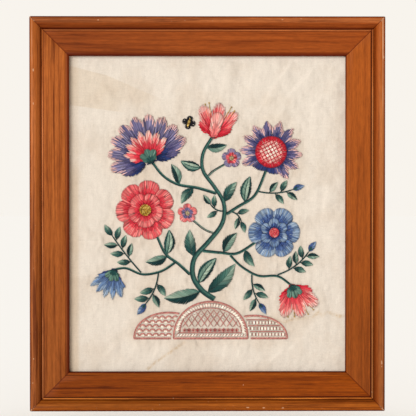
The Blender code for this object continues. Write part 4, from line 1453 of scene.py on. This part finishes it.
def base_line(name, inset, reach=0.0):
    """A level line across a mound, its ends drawn in by the reach."""
    x, foot, width, _ = MOUNDS[name]
    half = width / 2 - inset - reach
    return [Vector((x + side * half, foot + inset)) for side in (-1, 0, 1)]


def cable(work, line, half):
    """A thick rope: slanting satin stitches in threes, one dusty pink and two ivory."""
    for k, (place, ahead) in enumerate(even_line(line, 1.25)):
        slant = left_of(ahead) * half + ahead * 1.3
        shade, width = (IVORY, 1.35) if k % 3 else (DUST, 1.1)
        work.stitch(place - slant, place + slant, shade, (0.25, 0.9, 0.25), width=width)


EDGE_ROPES = [(0.8, DUST, 1.5), (2.2, CLAY, 1.2)]      # inset, shade, width


def roped_edge(work, name, test):
    for inset, shade, width in EDGE_ROPES:
        for line in (mound_line(name, inset), base_line(name, inset)):
            rope(work, line, shade, width, test=test)


print("points along the middle mound's arch:", len(mound_line("mound_middle", 0.0)))

# %% [markdown]
# Each filling is laid through the whole mound and kept only where a test says that the point
# lies inside the roped edge, and outside the mound in front.

# %% Fill the middle mound
ARCH_INSET = 9.5      # the inner arch, under the row of bars
TRELLIS_LEANS, TRELLIS_PITCH, TRELLIS_REACH = (-36, 36), 6.6, 60
FINE_STEPS = 40       # the points of a finely divided arch from one bar to the next


def rosette(work, place, size, shade, heart, petals=5):
    for k in range(petals):
        a, b = (polar(*place, 360 * k / petals, radius) for radius in (size * 0.30, size))
        work.stitch(a, b, shade, (0.3, 0.65, 0.3), width=size * 0.62)
    knot(work, place, size * 0.6, heart, 0.45)


def bars_round(work, name, low, high, pitch):
    """Ivory bars that stand round an arch like the rays of a shell."""
    inner, outer = (even_line(mound_line(name, inset), pitch / FINE_STEPS)
                    for inset in (low, high))
    count = round(len(outer) / FINE_STEPS)
    for k in range(1, count):
        a = inner[round((len(inner) - 1) * k / count)][0]
        b = outer[round((len(outer) - 1) * k / count)][0]
        ahead = (b - a).normalized()
        for shift, shade, wide in ((-0.65, IVORY, 1.5), (0.65, IVORY, 1.5), (1.9, DUST, 0.95)):
            offset = left_of(ahead) * shift
            work.stitch(a + offset, b + offset, shade, (0.3, 0.9, 0.3), width=wide)


work = Work(501)
roped_edge(work, "mound_middle", None)
rope(work, mound_line("mound_middle", ARCH_INSET), DUST, 1.2)
bars_round(work, "mound_middle", ARCH_INSET - 1.0, 3.2, 3.8)
x, foot, *_ = MOUNDS["mound_middle"]
middle = Vector((x, foot + 21))
cable(work, base_line("mound_middle", 5.6, -0.6), 1.6)
rope(work, base_line("mound_middle", ARCH_INSET - 0.9), DUST)
for k in range(13):
    place = Vector((x + (k - 6) * 5.6, foot + ARCH_INSET + 2.4))
    rosette(work, place, 2.9, (CLAY, DUST)[k % 2], WINE, petals=6)


def in_middle_mound(point):
    return inside_mound("mound_middle", point, inset=ARCH_INSET + 1.0) and point.y > foot + 15.5


for lean in TRELLIS_LEANS:
    lay_threads(work, middle, TRELLIS_REACH, lean, TRELLIS_PITCH, in_middle_mound, DUST, 1.15, 0.55)
crossings, half_step = tie_crossings(work, middle, TRELLIS_REACH, TRELLIS_LEANS, TRELLIS_PITCH,
                                     in_middle_mound, CLAY, 0.7)
for place in crossings:
    if in_middle_mound(place + half_step):
        rosette(work, place + half_step, 2.0, IVORY, DUST)
finish_work(work, "mound_middle", 0, "rose_wool")
print("middle mound stitches:", len(work.rows))

# %% [markdown]
# Scales are half rings of rope in rows, each row shifted by half a scale. Bars are satin
# stitch in threes, in rows divided by ropes.

# %% Fill the side mounds
SCALE_WIDTH, SCALE_HEIGHT = 8.4, 5.6
BAR_PITCH, BAR_HEIGHT, BAR_ROW = 4.2, 4.8, 7.6


def in_side_mound(name):
    return lambda point: inside_mound(name, point, 3.6) and clear_of_middle(point)


work = Work(502)
roped_edge(work, "mound_left", clear_of_middle)
x, foot, *_ = MOUNDS["mound_left"]
inside = in_side_mound("mound_left")
for row in range(6):
    for column in range(-6, 7):
        centre = Vector((x + (column + 0.5 * (row % 2)) * SCALE_WIDTH,
                         foot + 4.4 + row * SCALE_HEIGHT))
        for ring, shade in ((3.9, DUST), (3.0, CLAY)):
            curve = [polar(*centre, angle, ring) for angle in range(-90, 91, 20)]
            rope(work, curve, shade, 1.1, 2.4, inside, 0.6)
        for angle in (-60, -20, 20, 60):
            tip = polar(*centre, angle, 2.5)
            if inside(tip):
                base = centre + Vector((angle / 100, -0.6))
                work.stitch(base, tip, IVORY, (0.3, 0.7, 0.3), width=1.35)
finish_work(work, "mound_left", 0, "rose_wool")
print("left mound stitches:", len(work.rows))

work = Work(503)
roped_edge(work, "mound_right", clear_of_middle)
x, foot, width, _ = MOUNDS["mound_right"]
inside = in_side_mound("mound_right")
for row in range(4):
    low = foot + 4.0 + row * BAR_ROW
    if row:
        divider = [Vector((x + side * width / 2, low - 1.5)) for side in (-1, 0, 1)]
        rope(work, divider, DUST, 1.3, 2.6, inside, 0.6)
    for column in range(-11, 12):
        centre_x = x + (column + 0.5 * (row % 2)) * BAR_PITCH
        for shift, colour, wide in ((-0.7, IVORY, 1.5), (0.6, IVORY, 1.5), (2.0, DUST, 0.95)):
            base = Vector((centre_x + shift, low))
            for a, b in clip_line(base, base + Vector((0, BAR_HEIGHT)), inside, 12):
                work.stitch(a, b, colour, (0.2, 0.7, 0.2), width=wide)
finish_work(work, "mound_right", 0, "rose_wool")
print("right mound stitches:", len(work.rows), "all stitches:", sum(sewn))

# %% [markdown]
# ## The linen
# The ground is plain-weave linen, stretched by hand. It has old fold creases, soft waves
# near the top and puckers where the wool pulls it. The sheet is a fine grid: its points are
# pushed back from the face by named creases, by gentle waves, and by a pull that grows close
# to the stitching. The stitches are first drawn onto a coarse map of the cloth to find where
# the wool is.

# %% Map where the wool is
LINEN_WIDTH = (linen_high.x - linen_low.x) / MM
LINEN_HEIGHT = (linen_high.z - linen_low.z) / MM
CELL = 2.1            # millimetres from one point of the grid to the next
COLUMNS = round(LINEN_WIDTH / CELL)
ROWS = round(LINEN_HEIGHT / CELL)


def wool_map():
    """1 at each point of the linen's grid that has wool over it, and 0 at the others."""
    grid = np.zeros((ROWS + 1, COLUMNS + 1))
    for piece in bpy.data.objects:
        if piece.name.startswith("stitched_"):
            co = np.empty(len(piece.data.vertices) * 3)
            piece.data.vertices.foreach_get("co", co)
            x, _, z = co.reshape(-1, 3).T
            column = ((x - LINEN_X) / MM / LINEN_WIDTH + 0.5) * COLUMNS
            row = ((z - LINEN_Z) / MM / LINEN_HEIGHT + 0.5) * ROWS
            row, column = (values.round().astype(int) for values in (row, column))
            grid[np.clip(row, 0, ROWS), np.clip(column, 0, COLUMNS)] = 1
    return grid


def blurred(grid, times):
    for _ in range(times):
        padded = np.pad(grid, 1, mode="edge")
        grid = (padded[:-2, 1:-1] + padded[2:, 1:-1] + padded[1:-1, :-2] + padded[1:-1, 2:]
                + 2 * padded[1:-1, 1:-1]) / 6
    return grid


covered = wool_map()
near_wool = blurred(covered, 6)
around_wool = blurred(covered, 40)
print("share of the linen under wool:", round(float(covered.mean()), 3))

# %% [markdown]
# A crease in stretched linen is a low ridge: steep on one side, which catches the light as a
# thin bright line, and long and soft on the other; a painted highlight on the steep flank
# makes that line brighter. The named creases lie where the photograph shows them. Noise adds
# the small unevenness that no table can hold, stretched along the threads because linen
# creases along its weave.

# %% Shape the linen
CREASES = [
    # x1,   z1,    x2,   z2,  width, height
    (112, 200, 92, 172, 4.0, 0.75),
    (92, 172, 66, 132, 4.5, 0.60),
    (143, 194, 98, 144, 4.0, 0.70),
    (174, 181, 156, 162, 4.0, 0.40),
    (152, 154, 130, 132, 3.5, 0.65),
    (104, 142, 82, 116, 4.0, 0.55),
    (63, 187, 50, 152, 6.0, 0.40),
    (63, 112, 47, 78, 4.0, 0.40),
    (177, -27, 127, -33, 3.5, 0.60),
    (-177, -35, -132, -36, 3.5, 0.60),
    (177, 160, 150, 158, 3.0, 0.40),
    (177, 130, 158, 129, 3.0, 0.35),
    (1, 178, -2, 148, 7.0, 0.45),
    (-46, 180, -50, 150, 8.0, 0.35),
    (24, 190, 20, 150, 6.0, 0.35),
    (-22, 188, -26, 150, 6.0, 0.35),
    (-150, 120, -162, 70, 7.0, 0.45),
    (-154, -10, -158, -60, 7.0, 0.45),
    (156, 40, 150, -10, 7.0, 0.40),
    (-112, -164, -136, -188, 5.0, 0.50),
    (-84, -156, -99, -180, 5.0, 0.45),
    (-60, -166, -70, -192, 6.0, 0.40),
    (26, -164, 20, -194, 5.0, 0.45),
    (46, -162, 37, -196, 5.0, 0.45),
    (101, -172, 78, -196, 5.0, 0.55),
    (124, -160, 100, -181, 5.0, 0.50),
    (141, -144, 121, -157, 4.0, 0.45),
    (-63, -30, -66, -73, 5.0, 0.30),
    (68, -20, 62, -45, 5.0, 0.30),
]
STEEP, GENTLE = 0.6, 2.6                   # the reach of a crease's two flanks, in its widths
SHALLOWEST, DEEPEST = 0.02, 1.35           # millimetres that the cloth lies behind its face


def soft_step(value, width):
    """From 0 to 1 as the value climbs through nought, over a width."""
    t = np.clip(value / width + 0.5, 0, 1)
    return t * t * (3 - 2 * t)


def crease_fields():
    """The creases' height over the grid, in millimetres, and the painted highlight on their lit
    flank.
    """
    height, rubbed = np.zeros((2, ROWS + 1, COLUMNS + 1))
    for x1, z1, x2, z2, width, crease in CREASES:
        run_x, run_z = x2 - x1, z2 - z1
        length = math.hypot(run_x, run_z)
        along = ((grid_x - x1) * run_x + (grid_z - z1) * run_z) / length ** 2
        across = ((grid_x - x1) * -run_z + (grid_z - z1) * run_x) / length
        fade = soft_step(0.65 - np.abs(along - 0.5) * 2, 1)
        away = across if run_x + run_z < 0 else -across
        near = np.exp(-(away / np.where(away < 0, STEEP * width, GENTLE * width)) ** 2)
        height += crease * fade * near
        # A painted highlight on the steep flank, which faces the light.
        rubbed += crease * fade * np.exp(-(away / 2.2 + 0.5) ** 2)
    return height, rubbed


def noise_field(scale_x, scale_z, octaves, shift):
    """Smooth noise over the grid, about -1 to 1, with its own stretch along x and z."""
    values = [noise.fractal(Vector((x / scale_x, z / scale_z, shift)), 0.6, 2.0, octaves)
              for x, z in zip(grid_x.ravel(), grid_z.ravel())]
    return np.reshape(values, grid_x.shape)


grid_x, grid_z = np.meshgrid(np.linspace(-LINEN_WIDTH / 2, LINEN_WIDTH / 2, COLUMNS + 1),
                             np.linspace(-LINEN_HEIGHT / 2, LINEN_HEIGHT / 2, ROWS + 1))
waves = noise_field(44.0, 70.0, 2, 1.7)
folds = noise_field(17.0, 27.0, 3, 5.1)
ripples = noise_field(8.0, 11.0, 2, 8.3)
pull = np.clip(around_wool * 2.2, 0, 1) * (1 - 0.75 * near_wool)
creases, rubbed = crease_fields()
sink = 0.70 + 0.30 * waves + 0.36 * folds + 0.10 * ripples - creases
sink += pull * (0.35 * ripples + 0.25 * folds + 0.05)
relief = -sink
from_edge = np.minimum(SIGHT_WIDTH / 2 - np.abs(grid_x), SIGHT_HEIGHT / 2 - np.abs(grid_z))
calm = np.clip(from_edge / 9 + 0.35, 0, 1)
sink = np.clip(sink * calm * (1 - 0.55 * near_wool), SHALLOWEST, DEEPEST)
print("linen sinks up to, mm:", round(float(sink.max()), 2))

# %% [markdown]
# Two kinds of stain are stored on the sheet too: the left margin has tanned against the wood,
# and two old water marks left a thin tan line. Close to the left rail the margin's tint also
# stands for a warm painted shade.

# %% Find the tanned margin, its painted shade and the water marks
WATER_LINES = [
    [(60, -145), (81, -134), (96, -141), (112, -136), (131, -135), (137, -133), (143, -126),
     (148, -132), (156, -127), (165, -130), (178, -132)],
    [(-30, -166), (-45, -176), (-54, -183), (-68, -192), (-77, -199)],
]
WATER_WIDTH, MARGIN_WIDTH = 1.6, 11.5      # millimetres


def distance_to_line(x, z, points):
    best = np.full(x.shape, 1e9)
    for (x1, z1), (x2, z2) in zip(points, points[1:]):
        run_x, run_z = x2 - x1, z2 - z1
        along = np.clip(((x - x1) * run_x + (z - z1) * run_z) / (run_x ** 2 + run_z ** 2), 0, 1)
        best = np.minimum(best, np.hypot(x - x1 - along * run_x, z - z1 - along * run_z))
    return best


wander = noise_field(14.0, 14.0, 2, 4.4)
water = np.zeros_like(grid_x)
for points in WATER_LINES:
    away = distance_to_line(grid_x, grid_z + wander * 2.0, points)
    line = np.exp(-(away / WATER_WIDTH) ** 2) * np.clip(0.70 + 0.9 * wander, 0.2, 1)
    water = np.maximum(water, line)
from_left = np.maximum(grid_x + SIGHT_WIDTH / 2, 0)
margin = soft_step(MARGIN_WIDTH - from_left, 5) * (0.35 + 0.45 * soft_step(60 - grid_z, 60))
# Painted warm shade in the last few millimetres next to the rail.
margin = np.clip(margin + 0.4 * np.exp(-from_left / 2.5), 0, 1.2)
print("tanned share of the linen:", round(float(margin.mean()), 3))

# %% [markdown]
# The grid becomes a sheet with Solidify, which gives it the real cloth's thickness and closes its
# edges. Its points carry the stains, the painted shade and highlight, and the relief as values,
# and its place is in the mesh.

# %% Build the sheet
LINEN_THICKNESS = 1.1  # millimetres

deselect_all()
bpy.ops.mesh.primitive_grid_add(x_subdivisions=COLUMNS, y_subdivisions=ROWS, size=1.0)
linen = bpy.context.object
linen.name = "woven_linen"
linen.data.vertices.foreach_set("co", on_cloth(grid_x, grid_z, -sink).ravel())
for name, values in (("water", water), ("margin", margin), ("worked", pull), ("rubbed", rubbed),
                     ("relief", relief)):
    store(linen.data, name, "POINT", values.ravel())
linen.data.update()
body = linen.modifiers.new("thickness", "SOLIDIFY")
body.thickness = LINEN_THICKNESS * MM
body.offset = -1.0
activate(linen)
bpy.ops.object.modifier_apply(modifier=body.name)
bpy.ops.object.shade_smooth()
print("linen triangles:", triangles(linen))

# %% [markdown]
# Plain weave is two sets of threads, one over and one under. Two wave patterns at right
# angles give the threads, and their mean the over and under. Linen threads are uneven, so
# slubs, streaks stretched along each thread, vary their colour. A band in the upper left is
# toned darker, with straight edges.

# %% Weave the linen
THREAD = 0.00072       # metres from one thread to the next
LINEN_BASE = from_screen(214, 204, 192)
DINGY, BAND_TONE = (0.93, 0.905, 0.88), (0.94, 0.90, 0.845)
# Tints over the cloth: the margin's tan with its painted warm shade, painted shade round the wool,
# the water marks, and a painted highlight on the creases' lit flanks.
STAINS_AND_PAINTED_LIGHT = {"margin": (0.86, 0.77, 0.66), "worked": (0.95, 0.92, 0.89),
          "water": (0.80, 0.66, 0.47), "rubbed": (1.10, 1.10, 1.10)}
# a point (x, z) on each straight edge of the toned band, and the edge's slope
BAND_TOP, BAND_BEND, BAND_FOOT = (-173, 190, -0.26), (-128, 178, -0.43), (-173, 140, -0.14)


def height_over(x, z, edge):
    """How far a place lies above a straight edge, in metres."""
    edge_x, edge_z, slope = edge
    return z - (x * slope + (edge_z - slope * edge_x) * MM)


def band_mask(x, z):
    """How much a place lies in the toned band, whose edges are straight."""
    over_top = height_over(x, z, BAND_TOP).most(height_over(x, z, BAND_BEND))
    over_foot = height_over(x, z, BAND_FOOT)
    sharp, faded = over_foot.fit(-0.0005, 0.0005), over_foot.fit(0.0, 0.022)
    lower = sharp + (faded - sharp) * x.fit(-0.122, -0.100)
    to_right = x.fit(-0.135, -0.080, 0.45, 0.0) + x.fit(-0.085, -0.045, 0.55, 0.0)
    return over_top.fit(-0.0006, 0.0004, 1.0, 0.0) * lower * to_right


def linen_finish():
    finish, place = start_finish("unbleached_linen")
    x, _, z = place.axes()
    warp, weft = (place.wave(way, math.pi / (10 * THREAD), 1.2, 0.6) for way in "XZ")
    tall, wide = (place.mapped(squeeze).noise(1100.0, detail=2.0)
                  for squeeze in ((1.0, 1.0, 0.07), (0.07, 1.0, 1.0)))
    weave, slub = warp * 0.5 + weft * 0.5, tall * 0.5 + wide * 0.5
    cloud = place.noise(20.0, detail=4.0, roughness=0.6)
    fleck = place.noise(900.0, detail=2.0)
    thin, thick = (tuple(c * share for c in LINEN_BASE) for share in (0.955, 1.03))
    colour = slub.ramp([(0.36, thin), (0.50, LINEN_BASE), (0.64, thick)])
    colour = colour.times(weave.fit(0.1, 0.75, 0.97, 1.01)).times(fleck.fit(0.3, 0.7, 0.95, 1.04))
    colour = colour.mix(colour.times(DINGY), cloud.fit(0.42, 0.66))
    colour = colour.mix(colour.times(BAND_TONE), band_mask(x, z - LINEN_Z))
    for name, tint in STAINS_AND_PAINTED_LIGHT.items():
        share = place.stored(name)
        if name == "water":
            share = share * place.noise(300.0, detail=2.0).fit(0.42, 0.60, 0.40, 1.0)
        colour = colour.mix(colour.times(tint), share)
    puckers = place.stored("relief").bump(1.0, 0.0018)
    return set_shader(finish, Base_Color=colour, Roughness=0.95, Sheen_Weight=0.12,
                      Specular_IOR_Level=0.2,
                      Normal=weave.bump(0.25, 0.0002, slub.bump(0.25, 0.0003, puckers)))


linen.data.materials.clear()
linen.data.materials.append(linen_finish())
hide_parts("linen")
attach(linen, "root")
print("threads across the opening:", round(SIGHT_WIDTH * MM / THREAD))

# %% [markdown]
# ## The floor
# A plain pale floor lies just under the frame. It is matt and even, and its tone is set so
# that the far floor meets the pale world without a line. As a photographer lights a backdrop
# apart, the floor has a lamp of its own straight above it, and the key light passes it by.

# %% Lay the floor
FLOOR_DROP = 0.024     # metres below the frame's lower edge
FLOOR_REACH = 30.0
FLOOR_COLOUR = (0.877, 0.868, 0.855)
LAMP_STRENGTH, LAMP_SPREAD, LAMP_COLOUR = 1.84, 40.0, (1.0, 0.99, 0.965)

deselect_all()
bpy.ops.mesh.primitive_plane_add(size=FLOOR_REACH, location=(0, 0, cad_low.z - FLOOR_DROP))
floor = bpy.context.object
floor.name = "floor"
floor.data.materials.append(set_shader(start_finish("pale_floor")[0], Base_Color=FLOOR_COLOUR,
                                       Roughness=1.0, Specular_IOR_Level=0.0))
floor_lamp = add_lamp("floor_lamp", Vector((0, 0, -1)), LAMP_STRENGTH, LAMP_SPREAD, LAMP_COLOUR)
for lamp, state in ((key_lamp, "EXCLUDE"), (floor_lamp, "INCLUDE")):
    linked = bpy.data.collections.new(f"{lamp.name}_linking")
    linked.objects.link(floor)
    linked.collection_objects[0].light_linking.link_state = state
    lamp.light_linking.receiver_collection = linked
floor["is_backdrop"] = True

# %% Measure and finish
low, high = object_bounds()
print("packed box, mm:", [round((b - a) / MM, 1) for a, b in zip(cad_low, cad_high)])
print("scene box, mm:", [round((b - a) / MM, 1) for a, b in zip(low, high)])
